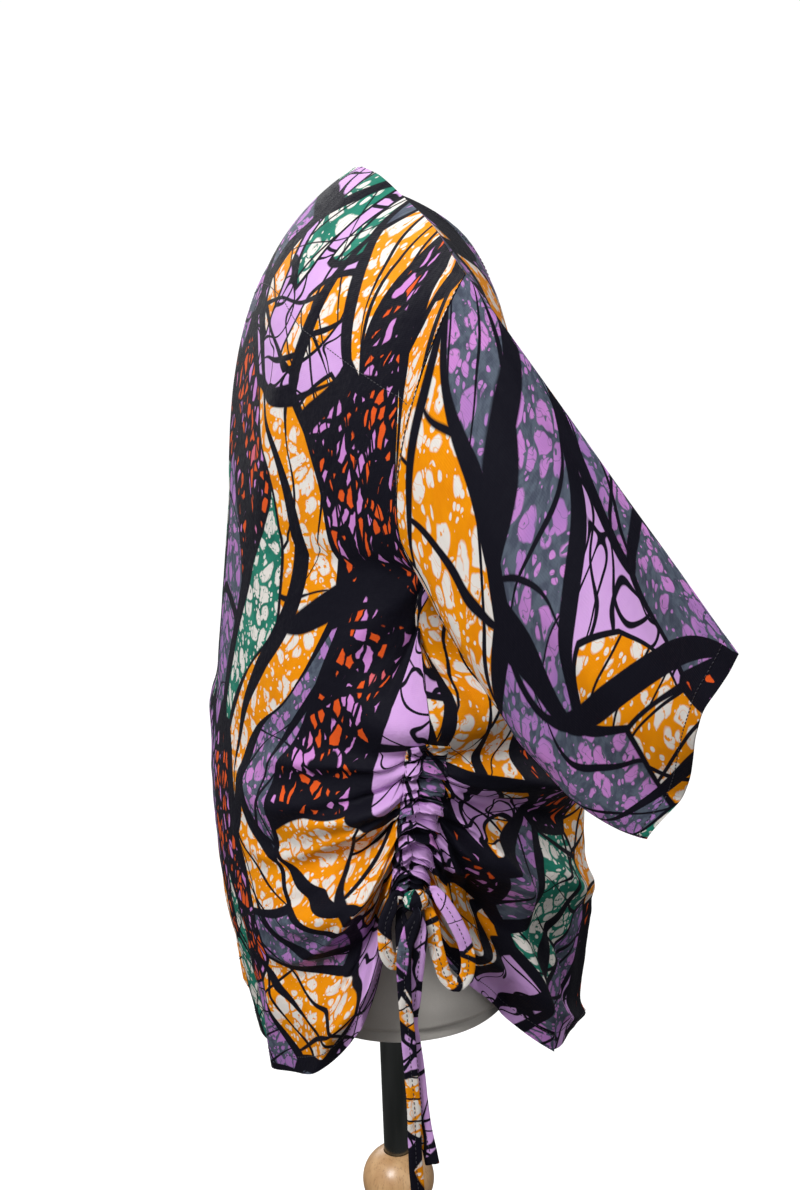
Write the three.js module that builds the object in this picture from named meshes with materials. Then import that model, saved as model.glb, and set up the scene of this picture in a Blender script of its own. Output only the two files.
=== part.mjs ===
// A boxy kimono jacket with ruched, drawstring-gathered sides, worn by a limbless dress form.
// Millimetres, +Z up, front towards -Y, wearer's right towards -X.
// The origin is the centre of the base disc's underside.
import * as THREE from 'three';

// ---- Driving dimensions of the jacket -------------------------------------------------
const CLOTH = 2.0; // wall of the sewn cotton
const SEAM_GAP = 0.35; // space between neighbouring pieces
const HALF_FLAT = 270; // flat width from the centre to the side seam
const BACK_LENGTH = 680; // flat length of the back from neck to hem
const SHOULDER_X = 240; // dropped shoulder point
const SHOULDER_Z = 1374;
const NECK_X = 80; // where the neckline meets the shoulder seam
const ARMHOLE_MID_Z = 1282;
const ARMHOLE_HALF = SHOULDER_Z - ARMHOLE_MID_Z;
const ARMHOLE_LEAN_X = 11; // how much further in the armhole's foot lies than its top
const ARMHOLE_LEAN_Y = 11;
const ARMHOLE_BACK = 27; // how far the armhole opens to the back and to the front
const ARMHOLE_FRONT = 34;
const HEM_BACK_Z = 757;
const HEM_FRONT_Z = 744;
const SIDE_HEM_Z = 955; // the hem where the drawstring lifts it
const LIFT_REACH = 80; // how fast that lift fades beyond the casing
const LIFT_DROP = 0.25; // share of the lift that drops off right beside the casing
const LIFT_DROP_REACH = 8;
const FRONT_LIFT = 33; // how much further the front's hem rises, between casing and corner
const FRONT_LIFT_AT = 45;
const FRONT_LIFT_REACH = 55;
const LIFT_START = 0.5; // share of the length where the gathering starts
const SIDE_FALL = 604; // fall of an ungathered side from shoulder to hem
const SHOULDER_ROUND = 37; // fall over which the cloth turns from shoulder to back
const SIDE_TURN = 14; // distance from the side seam over which the wall turns square to it
const GATHERS = 9; // gathers along each drawstring
const GATHER_DEPTH = 2.6;
const GATHER_REACH = 34; // how far from the casing the gathers fade

// Shoulder and neck line: height and depth across the garment.
const TOP_LINE = [
  { x: 0, y: -2, z: 1424 },
  { x: 40, y: -4, z: 1421 },
  { x: 80, y: -11, z: 1409 },
  { x: 160, y: -16, z: 1392 },
  { x: 240, y: -10, z: 1374 },
];

// Depth of the hanging cloth at the centre of the back and of the front, and the half width.
const BODY = [
  { z: 1430, back: 60, front: -82, side: 240, seam: -10 },
  { z: 1374, back: 72, front: -92, side: 240, seam: -10 },
  { z: 1320, back: 81, front: -96, side: 234, seam: -4 },
  { z: 1260, back: 91, front: -108, side: 226, seam: 4 },
  { z: 1190, back: 101, front: -122, side: 218, seam: 12 },
  { z: 1130, back: 108, front: -132, side: 213, seam: 14 },
  { z: 1045, back: 119, front: -143, side: 209, seam: 18 },
  { z: 960, back: 129, front: -151, side: 207, seam: 27 },
  { z: 880, back: 127, front: -151, side: 200, seam: 25 },
  { z: 830, back: 119, front: -147, side: 194, seam: 21 },
  { z: 740, back: 104, front: -134, side: 182, seam: 17 },
];

// Inner edge of each front, from the neck down.
const FRONT_EDGE = [
  { z: 1409, x: 80 },
  { z: 1372, x: 50 },
  { z: 1330, x: 28 },
  { z: 1270, x: 14 },
  { z: 1190, x: 10 },
  { z: 750, x: 10 },
];

// Swags, puffs and hollows. from and to are distances from the side seam, down and downTo are
// shares of the length there; rise is outwards, spread is the half width as a share of length.
const FOLDS = [
  { on: 'both', from: 0, to: 75, down: 0.37, downTo: 0.38, rise: -12, spread: 0.055 },
  { on: 'both', from: 0, to: 80, down: 0.475, downTo: 0.46, rise: 12, spread: 0.035 },
  { on: 'back', from: 14, to: 230, down: 0.6, downTo: 0.62, rise: 9, spread: 0.03 },
  { on: 'back', from: 18, to: 210, down: 0.68, downTo: 0.69, rise: -8, spread: 0.03 },
  { on: 'back', from: 16, to: 190, down: 0.75, downTo: 0.78, rise: 9, spread: 0.035 },
  { on: 'back', from: 20, to: 170, down: 0.86, downTo: 0.85, rise: -12, spread: 0.04 },
  { on: 'back', from: 24, to: 120, down: 0.95, downTo: 0.94, rise: 8, spread: 0.035 },
  { on: 'front', from: 14, to: 200, down: 0.57, downTo: 0.6, rise: 9, spread: 0.03 },
  { on: 'front', from: 18, to: 190, down: 0.65, downTo: 0.68, rise: -8, spread: 0.03 },
  { on: 'front', from: 16, to: 190, down: 0.73, downTo: 0.77, rise: 9, spread: 0.035 },
  { on: 'front', from: 20, to: 150, down: 0.82, downTo: 0.86, rise: -12, spread: 0.035 },
  { on: 'front', from: 22, to: 140, down: 0.9, downTo: 0.95, rise: 11, spread: 0.03 },
];

// Sleeve: cuff corners of the right sleeve, and how it hangs between armhole and cuff.
const CUFF_TOP = new THREE.Vector3(-450, -93, 1197);
const CUFF_BOTTOM = new THREE.Vector3(-335, -88, 1045);
const CUFF_BACK = 2; // bulge of the cuff to the back and to the front
const CUFF_FRONT = 30;
const CUFF_SLANT = 34; // how much shorter the sleeve's front is at the cuff
const CUFF_TURN = new THREE.Vector3(-0.369, 0.929, 0);
const UNDERARM_SAG = 38;
const SLEEVE_VALLEY = 9; // lengthwise hollow of the sleeve's back face
const CUFF_WAVES = [
  { angle: 1.15, rise: 7, spread: 0.3 },
  { angle: 2.05, rise: -15, spread: 0.5 },
];
const ARMHOLE_STEPS = 9; // facets down one side of the armhole

// Casing and drawstring.
const CASING_HALF = 15;
const CASING_SOFT = 7; // how softly the lifted hem starts to fall beside the casing
const CASING_CLOTH = 1.6;
const CHANNEL_RISE = 2.2; // crown of each channel
const CORD_WIDTH = 10;
const CORD_THICK = 3;
const CORD_STEPS = 15;
const CORD_SIDES = 8;
const CORD_PINCH = 0.42; // width of a cord where it enters the knot
const CORD_PINCH_REACH = 14;
const CORD_LEAVE = 5; // how far a cord leaves the knot straight
const KNOT = new THREE.Vector3(-201.4, 24, 958); // right knot, on the foot of the casing
const KNOT_HALF = new THREE.Vector3(5.5, 9, 8);

// Dress form and stand.
const FORM_BOTTOM_Z = 827;
const RIM_HEIGHT = 12;
const POLE_RADIUS = 11;
const HUB_Z = 607;
const HUB_RADIUS = 29.5;
const HUB_BORE_DEPTH = 22;
const COLUMN_RADIUS = 20;
const BASE_RADIUS = 200;
const BASE_HEIGHT = 28;

// ---- Colours and finishes ----------------------------------------------------------------
const finish = (color, roughness, metalness = 0) =>
  new THREE.MeshStandardMaterial({ color, roughness, metalness });
const PRINT = () => finish(0x9a6a86, 0.75);
const FORM_CLOTH = () => finish(0xd6d3cc, 0.85);
const CHROME = () => finish(0xd8dadd, 0.15, 1);
const WOOD = () => finish(0xc79a68, 0.45);

// ---- Small tools -------------------------------------------------------------------------
const clamp01 = (value) => Math.min(1, Math.max(0, value));
const range = (from, to, steps) =>
  Array.from({ length: steps + 1 }, (_, i) => from + ((to - from) * i) / steps);

// Smooth curve through a table's rows, with no overshoot between them.
function smooth(rows, key, column) {
  const points = [...rows].sort((a, b) => a[key] - b[key]);
  const at = points.map((row) => row[key]);
  const value = points.map((row) => row[column]);
  const slope = at.slice(1).map((next, i) => (value[i + 1] - value[i]) / (next - at[i]));
  const tangent = value.map((_, i) => {
    const before = slope[Math.max(0, i - 1)];
    const after = slope[Math.min(slope.length - 1, i)];
    return before * after <= 0 ? 0 : (2 * before * after) / (before + after);
  });
  return (x) => {
    const inside = Math.min(at[at.length - 1], Math.max(at[0], x));
    let i = 0;
    while (i < at.length - 2 && inside > at[i + 1]) i += 1;
    const width = at[i + 1] - at[i];
    const t = (inside - at[i]) / width;
    const rise = t * t * (3 - 2 * t);
    return (
      value[i] * (1 - rise) +
      value[i + 1] * rise +
      width * (tangent[i] * t * (1 - t) ** 2 - tangent[i + 1] * t * t * (1 - t))
    );
  };
}

const topY = smooth(TOP_LINE, 'x', 'y');
const topZ = smooth(TOP_LINE, 'x', 'z');
const backDepth = smooth(BODY, 'z', 'back');
const frontDepth = smooth(BODY, 'z', 'front');
const sideWidth = smooth(BODY, 'z', 'side');
const seamDepth = smooth(BODY, 'z', 'seam');
const frontEdge = smooth(FRONT_EDGE, 'z', 'x');

// ---- The body of the jacket ----------------------------------------------------------------
// Panels are drawn for the wearer's right: across goes from 0 at the centre (or the front edge)
// to 1 at the side, down goes from 0 at the shoulder to 1 at the hem.
const armholeTurn = (z) => clamp01((z - ARMHOLE_MID_Z) / ARMHOLE_HALF / 2 + 0.5) * 2 - 1;

function sideX(z) {
  const turn = (z - ARMHOLE_MID_Z) / ARMHOLE_HALF;
  const armhole = SHOULDER_X - ARMHOLE_LEAN_X + ARMHOLE_LEAN_X * Math.min(1, turn);
  return turn >= -1 ? armhole : Math.min(armhole, sideWidth(z));
}

// Fullness round the armhole and sleeve, from 0 at the top fold to 0 at the foot, widest below the middle.
const fullness = (angle) => 1.25 * Math.abs(Math.sin(angle)) * Math.abs(Math.sin(angle / 2)) ** 0.8;

function edgeY(z, isBack) {
  const turn = armholeTurn(z);
  if (turn <= -1) return seamDepth(z);
  const open = (isBack ? ARMHOLE_BACK : -ARMHOLE_FRONT) * fullness(Math.acos(turn));
  return 1 - ARMHOLE_LEAN_Y * turn + open;
}

const seamDistance = (across) => (1 - across) * HALF_FLAT;
const armpitDown = (2 * ARMHOLE_HALF) / SIDE_FALL;

// Distance beyond the casing's edge, which sets in softly.
function beyondCasing(across) {
  const past = seamDistance(across) - CASING_HALF + CASING_SOFT;
  if (past <= 0) return 0;
  return past < 2 * CASING_SOFT ? (past * past) / (4 * CASING_SOFT) : past - CASING_SOFT;
}

function heightAt(across, down, x, isBack) {
  const hem = isBack ? HEM_BACK_Z : HEM_FRONT_Z;
  const top = topZ(x);
  const sideHem = SHOULDER_Z - SIDE_FALL;
  const end = hem + (sideHem - hem) * across ** 6;
  const free = top - (top - end) * down;
  const gathered = clamp01((down - LIFT_START) / (1 - LIFT_START));
  const past = beyondCasing(across);
  const drop = LIFT_DROP * Math.exp(-past / LIFT_DROP_REACH);
  const lift = (SIDE_HEM_Z - sideHem) * (drop + (1 - LIFT_DROP) * Math.exp(-past / LIFT_REACH));
  const swag = Math.exp(-(((past - FRONT_LIFT_AT) / FRONT_LIFT_REACH) ** 2));
  const frontLift = isBack ? 0 : FRONT_LIFT * swag * (1 - Math.exp(-past / 10));
  return free + (lift + frontLift) * gathered ** 1.1;
}

function foldRise(across, down, isBack) {
  const away = seamDistance(across);
  let rise = 0;
  for (const fold of FOLDS) {
    if (fold.on === (isBack ? 'front' : 'back')) continue;
    const along = (away - fold.from) / (fold.to - fold.from);
    if (along >= 1 || (fold.from > 0 && along <= 0)) continue;
    const inside = Math.max(0, along);
    const swell = fold.from > 0 ? Math.sin(Math.PI * Math.sqrt(inside)) : Math.cos((Math.PI / 2) * inside);
    const off = (down - fold.down - (fold.downTo - fold.down) * inside) / fold.spread;
    rise += fold.rise * swell * Math.exp(-off * off);
  }
  const along = (down - LIFT_START) / (1 - LIFT_START);
  const inGathers = clamp01(along * 8) * clamp01((1.02 - along) * 8);
  const gather = Math.cos(2 * Math.PI * GATHERS * along);
  return rise + GATHER_DEPTH * gather * inGathers * Math.exp(-((away / GATHER_REACH) ** 2));
}

function bodyBase(across, down, isBack) {
  const even = isBack ? across * (0.72 + 0.28 * across) : across * (0.8 + 0.2 * across);
  let start = 0;
  let x = 0;
  let z = SHOULDER_Z;
  // The height depends on the width and the width on the height: two rounds settle both.
  for (let round = 0; round < 3; round += 1) {
    const width = sideX(z);
    if (!isBack) start = Math.asin((frontEdge(z) / width) ** 1.15);
    const angle = start + (Math.PI / 2 - start) * even;
    x = width * Math.sin(angle) ** (1 / 1.15);
    const topX = SHOULDER_X * Math.sin(isBack ? angle : shoulderAngle(even)) ** (1 / 1.15);
    z = heightAt(across, down, topX, isBack);
  }
  const angle = start + (Math.PI / 2 - start) * even;
  const low = clamp01((1230 - z) / 130);
  const lowRound = isBack ? 0.5 : 0.5 + 0.13 * clamp01((1000 - z) / 150);
  const round = lowRound * low + (isBack ? 1 : 1.6) * (1 - low);
  const fall = Math.max(0, topZ(x) - z);
  const spread = 1 - Math.exp(-fall / SHOULDER_ROUND);
  const full = isBack ? backDepth(z) : frontDepth(z);
  const centre = topY(x) + (full - topY(x)) * spread;
  const edge = edgeY(z, isBack);
  const y = edge + (centre - edge) * Math.abs(Math.cos(angle)) ** (2 * round);
  return new THREE.Vector3(-x, y, z);
}

function shoulderAngle(even) {
  const start = Math.asin((NECK_X / SHOULDER_X) ** 1.15);
  return start + (Math.PI / 2 - start) * even;
}

function turnOf(place, across, down, outwards) {
  const step = 0.004;
  const alongAcross = place(Math.min(1, across + step), down).sub(place(Math.max(0, across - step), down));
  const alongDown = place(across, Math.min(1, down + step)).sub(place(across, Math.max(0, down - step)));
  const normal = alongAcross.cross(alongDown).normalize();
  return normal.dot(outwards) < 0 ? normal.negate() : normal;
}

// Outwards direction, which is straight up along the shoulder seam and straight out at the side.
function bodyTurn(across, down, isBack) {
  const outwards = new THREE.Vector3(-0.4 - across, isBack ? 1 : -1, 0.5);
  const place = (a, d) => bodyBase(a, d, isBack);
  const normal = turnOf(place, across, down, outwards);
  const side = new THREE.Vector3(-1, 0, 0);
  const low = clamp01((down - armpitDown) / 0.01 + 1);
  normal.lerp(side, low * Math.exp(-((seamDistance(across) / SIDE_TURN) ** 2)));
  return normal.lerp(new THREE.Vector3(0, 0, 1), Math.exp(-((down * BACK_LENGTH) / 9))).normalize();
}

function bodyPoint(across, down, isBack, out = 0) {
  const point = bodyBase(across, down, isBack);
  const rise = foldRise(across, down, isBack) + out;
  return point.addScaledVector(bodyTurn(across, down, isBack), rise);
}

// ---- Closed walls from grids of points -------------------------------------------------------
// outer and inner are rows of points. From the column flipFrom on, each quad is cut along its other
// diagonal, so that the two halves of a symmetric panel mirror each other.
function wall(outer, inner, flipFrom = Infinity) {
  const rows = outer.length;
  const columns = outer[0].length;
  const position = [];
  for (const face of [outer, inner]) {
    for (const row of face) for (const point of row) position.push(point.x, point.y, point.z);
  }
  const index = [];
  const at = (face, i, j) => face * rows * columns + i * columns + j;
  const quad = (a, b, c, d) => index.push(a, b, c, a, c, d);
  const last = columns - 1;
  for (let i = 0; i < rows - 1; i += 1) {
    for (let j = 0; j < last; j += 1) {
      const front = [at(0, i, j), at(0, i + 1, j), at(0, i + 1, j + 1), at(0, i, j + 1)];
      const back = [at(1, i, j), at(1, i, j + 1), at(1, i + 1, j + 1), at(1, i + 1, j)];
      if (j >= flipFrom) {
        front.push(front.shift());
        back.push(back.shift());
      }
      quad(...front);
      quad(...back);
    }
  }
  for (let j = 0; j < last; j += 1) {
    quad(at(0, 0, j), at(0, 0, j + 1), at(1, 0, j + 1), at(1, 0, j));
    quad(at(0, rows - 1, j + 1), at(0, rows - 1, j), at(1, rows - 1, j), at(1, rows - 1, j + 1));
  }
  for (let i = 0; i < rows - 1; i += 1) {
    quad(at(0, i + 1, 0), at(0, i, 0), at(1, i, 0), at(1, i + 1, 0));
    quad(at(0, i, last), at(0, i + 1, last), at(1, i + 1, last), at(1, i, last));
  }
  return solid(position, index);
}

// A closed geometry whose faces point out, whichever way round its grid was drawn.
function solid(position, index) {
  let volume = 0;
  for (let i = 0; i < index.length; i += 3) {
    const [a, b, c] = [0, 1, 2].map((k) => new THREE.Vector3().fromArray(position, 3 * index[i + k]));
    volume += a.dot(b.cross(c));
  }
  if (volume < 0) {
    for (let i = 0; i < index.length; i += 3) [index[i + 1], index[i + 2]] = [index[i + 2], index[i + 1]];
  }
  const geometry = new THREE.BufferGeometry();
  geometry.setAttribute('position', new THREE.Float32BufferAttribute(position, 3));
  geometry.setIndex(index);
  geometry.computeVertexNormals();
  return geometry;
}

const mirrored = (point) => new THREE.Vector3(-point.x, point.y, point.z);
const forSide = (side, point) => (side === 'left' ? mirrored(point) : point);

const group = new THREE.Group();
function add(name, geometry, material) {
  const mesh = new THREE.Mesh(geometry, material);
  mesh.name = name;
  group.add(mesh);
  return mesh;
}

// ---- Where the walls are divided ---------------------------------------------------------------
const edgeShare = SEAM_GAP / HALF_FLAT;
const armholeDown = range(0, Math.PI, ARMHOLE_STEPS).map(
  (angle) => (ARMHOLE_HALF * (1 - Math.cos(angle))) / SIDE_FALL,
);
const gatherSteps = range(LIFT_START, 1, GATHERS * 3);
const rowsDown = [
  SEAM_GAP / BACK_LENGTH,
  ...armholeDown.slice(1),
  ...range(armpitDown, LIFT_START, 4).slice(1, -1),
  ...gatherSteps,
];
const columnsFromSeam = [0, CASING_HALF / 2, CASING_HALF, 30, 48, 72, 100, 135, 180, 228];
const columnsAcross = columnsFromSeam.map((away) => 1 - away / HALF_FLAT).reverse();
columnsAcross[columnsAcross.length - 1] = 1 - edgeShare;

function panelGrid(isBack, side, out) {
  const columns = isBack ? columnsAcross : [0, ...columnsAcross];
  return rowsDown.map((down) => columns.map((across) => forSide(side, bodyPoint(across, down, isBack, out))));
}

function backPanel() {
  const face = (out) => {
    const right = panelGrid(true, 'right', out);
    const left = panelGrid(true, 'left', out);
    const middle = rowsDown.map((down) => {
      const point = bodyPoint(0, down, true, out);
      point.x = 0;
      return point;
    });
    return right.map((row, i) => [...[...row].reverse(), middle[i], ...left[i]]);
  };
  add('back', wall(face(0), face(-CLOTH), columnsAcross.length), PRINT());
}

function frontPanel(side) {
  const face = (out) => panelGrid(false, side, out);
  add(`front_${side}`, wall(face(0), face(-CLOTH)), PRINT());
}

// ---- Sleeves -----------------------------------------------------------------------------------
function sleevePoint(along, angle, out = 0) {
  const shoulder = new THREE.Vector3(-SHOULDER_X, 1 - ARMHOLE_LEAN_Y, SHOULDER_Z);
  const armpit = new THREE.Vector3(
    2 * ARMHOLE_LEAN_X - SHOULDER_X,
    1 + ARMHOLE_LEAN_Y,
    2 * ARMHOLE_MID_Z - SHOULDER_Z,
  );
  const top = shoulder.lerp(CUFF_TOP, along);
  const bottom = armpit.lerp(CUFF_BOTTOM, along);
  bottom.z -= UNDERARM_SAG * 4 * along * (1 - along);
  const middle = top.clone().add(bottom).multiplyScalar(0.5);
  const half = top.clone().sub(bottom).multiplyScalar(0.5);
  const across = new THREE.Vector3(0, 1, 0).lerp(CUFF_TURN, Math.min(1, 2 * along)).normalize();
  const isBack = Math.sin(angle) >= 0;
  const start = isBack ? ARMHOLE_BACK : ARMHOLE_FRONT;
  const end = isBack ? CUFF_BACK : CUFF_FRONT;
  const bulge = start + (end - start) * along;
  const hollowAt = 0.6 + 0.6 * along;
  const valley = -SLEEVE_VALLEY * Math.sin(Math.PI * along) * Math.exp(-(((angle - hollowAt) / 0.4) ** 2));
  let relief = isBack ? valley : 0;
  for (const wave of isBack ? CUFF_WAVES : []) {
    relief += wave.rise * along ** 6 * Math.exp(-(((angle - wave.angle) / wave.spread) ** 2));
  }
  const full = bulge * fullness(angle);
  const width = Math.sign(Math.sin(angle)) * full + relief + out * Math.sin(angle);
  const reach = 1 + out / half.length();
  const shoulderEnd = new THREE.Vector3(-SHOULDER_X, 1 - ARMHOLE_LEAN_Y, SHOULDER_Z);
  const axis = CUFF_TOP.clone().sub(shoulderEnd).normalize();
  const slant = isBack ? 0 : -CUFF_SLANT * along ** 2 * fullness(angle);
  return middle
    .addScaledVector(half, Math.cos(angle) * reach)
    .addScaledVector(across, width)
    .addScaledVector(axis, slant);
}

function sleeve(side) {
  const start = (2 * SEAM_GAP) / 290;
  const alongs = [start, 0.08, 0.18, 0.3, 0.43, 0.57, 0.7, 0.82, 0.92, 1];
  const gap = 0.006; // half the underarm seam, as an angle
  const angles = range(-Math.PI, Math.PI, 2 * ARMHOLE_STEPS);
  angles[0] += gap;
  angles[angles.length - 1] -= gap;
  const face = (out) =>
    alongs.map((along) => angles.map((angle) => forSide(side, sleevePoint(along, angle, out))));
  add(`sleeve_${side}`, wall(face(0), face(-CLOTH)), PRINT());
}

// ---- Casings: strips over the side seams, lying on the panels' own points -----------------------
function casingPoint(offset, down, isOuter) {
  const channel = Math.abs(Math.sin((Math.PI * offset) / CASING_HALF));
  const lift = isOuter ? CASING_CLOTH + CHANNEL_RISE * channel : 0;
  return bodyPoint(1 - Math.abs(offset) / HALF_FLAT, down, offset > 0, SEAM_GAP + lift);
}

function casing(side) {
  const offsets = [-1, -0.5, 0, 0.5, 1].map((share) => share * CASING_HALF);
  const face = (isOuter) =>
    gatherSteps.map((down) => offsets.map((offset) => forSide(side, casingPoint(offset, down, isOuter))));
  add(`casing_${side}`, wall(face(true), face(false)), PRINT());
}

// ---- Drawstrings: flat folded cords ------------------------------------------------------------
// Each cord leaves the knot in its own direction, and a loop ends there too. The points between are
// offsets from the knot's centre, for the right side.
const CORDS = {
  loop_back: {
    start: [0.1, 1, 0.4],
    end: [0.2, 0.8, -0.7],
    points: [
      [-3, 18, -2], [-5, 22, -10], [-5, 23, -24], [-5, 21, -36], [-4, 16, -42], [-3, 11, -37],
      [-2, 10, -26], [-1, 10, -16],
    ],
  },
  loop_front: {
    start: [0.1, -1, 0.4],
    end: [0.2, -0.8, -0.7],
    points: [
      [-3, -19, -4], [-5, -26, -18], [-5, -32, -34], [-5, -34, -48], [-4, -32, -60], [-4, -26, -65],
      [-3, -19, -59], [-3, -15, -46], [-2, -12, -32], [-1, -11, -18],
    ],
  },
  tail_back: {
    start: [-0.8, 0.2, -0.5],
    points: [
      [-13, 8, -16], [-15, 12, -28], [-15, 13, -42], [-15, 13, -60], [-14, 12, -80], [-14, 11, -102],
      [-13, 10, -125], [-13, 9, -148], [-12, 9, -171], [-12, 9, -193], [-11, 8, -213], [-11, 8, -233],
    ],
  },
  tail_front: {
    start: [-0.3, -0.1, -1],
    points: [
      [-8, -1, -20], [-9, 1, -34], [-9, 3, -50], [-8, 5, -68], [-8, 8, -86], [-8, 6, -104],
      [-8, 4, -124], [-8, 3, -145], [-7, 1, -166], [-7, -2, -185], [-7, -4, -198],
    ],
  },
};

// A point off the knot's surface, met in the given direction from its centre.
function offKnot(direction, out) {
  const way = new THREE.Vector3(...direction);
  way.multiplyScalar(1 / way.clone().divide(KNOT_HALF).length());
  const normal = way.clone().divide(KNOT_HALF).divide(KNOT_HALF).normalize();
  return way.addScaledVector(normal, out).add(KNOT);
}

function flatCord(cord, side) {
  const route = [offKnot(cord.start, SEAM_GAP), offKnot(cord.start, CORD_LEAVE)];
  for (const place of cord.points) route.push(new THREE.Vector3(...place).add(KNOT));
  if (cord.end) route.push(offKnot(cord.end, CORD_LEAVE), offKnot(cord.end, SEAM_GAP));
  const curve = new THREE.CatmullRomCurve3(route);
  const length = curve.getLength();
  const outwards = new THREE.Vector3(-1, 0, 0);
  const position = [];
  const index = [];
  const ringAt = (share) => {
    const middle = curve.getPointAt(share);
    const along = curve.getTangentAt(share);
    const wide = along.clone().cross(outwards).normalize();
    const thick = wide.clone().cross(along);
    const fromKnot = length * (cord.end ? Math.min(share, 1 - share) : share);
    const half = (CORD_WIDTH / 2) * (CORD_PINCH + (1 - CORD_PINCH) * clamp01(fromKnot / CORD_PINCH_REACH));
    for (const angle of range(0, 2 * Math.PI, CORD_SIDES).slice(1)) {
      const point = middle.clone().addScaledVector(wide, half * Math.cos(angle));
      point.addScaledVector(thick, (CORD_THICK / 2) * Math.sin(angle));
      position.push(...forSide(side, point).toArray());
    }
  };
  for (const share of range(0, 1, CORD_STEPS)) ringAt(share);
  for (let i = 0; i < CORD_STEPS; i += 1) {
    for (let j = 0; j < CORD_SIDES; j += 1) {
      const next = (j + 1) % CORD_SIDES;
      const a = i * CORD_SIDES + j;
      const b = i * CORD_SIDES + next;
      index.push(a, b, b + CORD_SIDES, a, b + CORD_SIDES, a + CORD_SIDES);
    }
  }
  const last = CORD_STEPS * CORD_SIDES;
  for (let j = 1; j < CORD_SIDES - 1; j += 1) {
    index.push(0, j + 1, j);
    index.push(last, last + j, last + j + 1);
  }
  return solid(position, index);
}

function drawstring(side) {
  const knot = new THREE.SphereGeometry(1, 10, 7);
  knot.scale(KNOT_HALF.x, KNOT_HALF.y, KNOT_HALF.z);
  add(`drawstring_${side}_knot`, knot, PRINT()).position.copy(forSide(side, KNOT));
  for (const [name, cord] of Object.entries(CORDS)) {
    add(`drawstring_${side}_${name}`, flatCord(cord, side), PRINT());
  }
}

// ---- Dress form and stand ------------------------------------------------------------------------
// Sections of the torso from the bottom up to the rim of its shoulders.
const FORM = [
  { share: 0, z: FORM_BOTTOM_Z, half: 146, depth: 101, middle: 3 },
  { share: 0.08, z: 850, half: 151, depth: 105, middle: 2 },
  { share: 0.25, z: 930, half: 150, depth: 104, middle: 0 },
  { share: 0.45, z: 1040, half: 127, depth: 90, middle: -3 },
  { share: 0.62, z: 1130, half: 138, depth: 96, middle: -6 },
  { share: 0.78, z: 1210, half: 150, depth: 100, middle: -10 },
  { share: 1, z: 1315, half: 165, depth: 76, middle: -6 },
];
const FORM_ROUND = 0.92; // 1 gives plain ellipses, less gives squarer sections
const FORM_SIDES = 28;
const FORM_RINGS = 9;
const FORM_CLEAR = 0.4; // space between the cloth's inside and the form's shoulders
const FORM_BACK_ROUND = 54; // depth over which the form's shoulders round to the back
const FORM_FRONT_ROUND = 48;
const FORM_NECK_DIP = 14;

// Height of the form's shoulders, which carry the jacket along its shoulder seams.
function formTop(x, y) {
  const out = Math.abs(x);
  const off = y - topY(out);
  const depth = (off > 0 ? FORM_BACK_ROUND : FORM_FRONT_ROUND) * (1 - (out / SHOULDER_X) ** 2.3);
  const fall = -SHOULDER_ROUND * Math.log(1 - Math.min(0.95, Math.abs(off) / depth));
  const neckDip = FORM_NECK_DIP * Math.exp(-((x / 70) ** 4));
  const shoulderEnd = Math.max(0, out - 120) ** 2 * 0.018;
  return topZ(out) - CLOTH - FORM_CLEAR - fall - neckDip - shoulderEnd;
}

function formTorso() {
  const half = smooth(FORM, 'share', 'half');
  const depth = smooth(FORM, 'share', 'depth');
  const middle = smooth(FORM, 'share', 'middle');
  const height = smooth(FORM, 'share', 'z');
  const angles = range(0, 2 * Math.PI, FORM_SIDES).slice(0, -1);
  const rounded = (value) => Math.sign(value) * Math.abs(value) ** FORM_ROUND;
  const rings = [];
  const ringOf = (share, scale) => angles.map((angle) => {
    const x = scale * half(share) * rounded(Math.cos(angle));
    const y = scale * depth(share) * rounded(Math.sin(angle)) + middle(share);
    const blend = clamp01((share - 0.78) / 0.22);
    const z = scale < 1 || share >= 1 ? formTop(x, y) : height(share) + blend * (formTop(x, y) - 1315) * 0.9;
    return new THREE.Vector3(x, y, z);
  });
  for (const share of range(0, 0.97, FORM_RINGS)) rings.push(ringOf(share, 1));
  for (const scale of [0.999, 0.93, 0.82, 0.66, 0.48, 0.3, 0.14]) rings.push(ringOf(1, scale));
  const position = [];
  const index = [];
  for (const ring of rings) for (const point of ring) position.push(point.x, point.y, point.z);
  const count = rings.length;
  for (let i = 0; i < count - 1; i += 1) {
    for (let j = 0; j < FORM_SIDES; j += 1) {
      const next = (j + 1) % FORM_SIDES;
      const a = i * FORM_SIDES + j;
      const b = i * FORM_SIDES + next;
      index.push(a, b, b + FORM_SIDES, a, b + FORM_SIDES, a + FORM_SIDES);
    }
  }
  position.push(0, middle(0), FORM_BOTTOM_Z, 0, middle(1), formTop(0, middle(1)));
  const bottom = count * FORM_SIDES;
  for (let j = 0; j < FORM_SIDES; j += 1) {
    const next = (j + 1) % FORM_SIDES;
    index.push(bottom, next, j);
    index.push(bottom + 1, (count - 1) * FORM_SIDES + j, (count - 1) * FORM_SIDES + next);
  }
  add('form_torso', solid(position, index), FORM_CLOTH());
}

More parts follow.
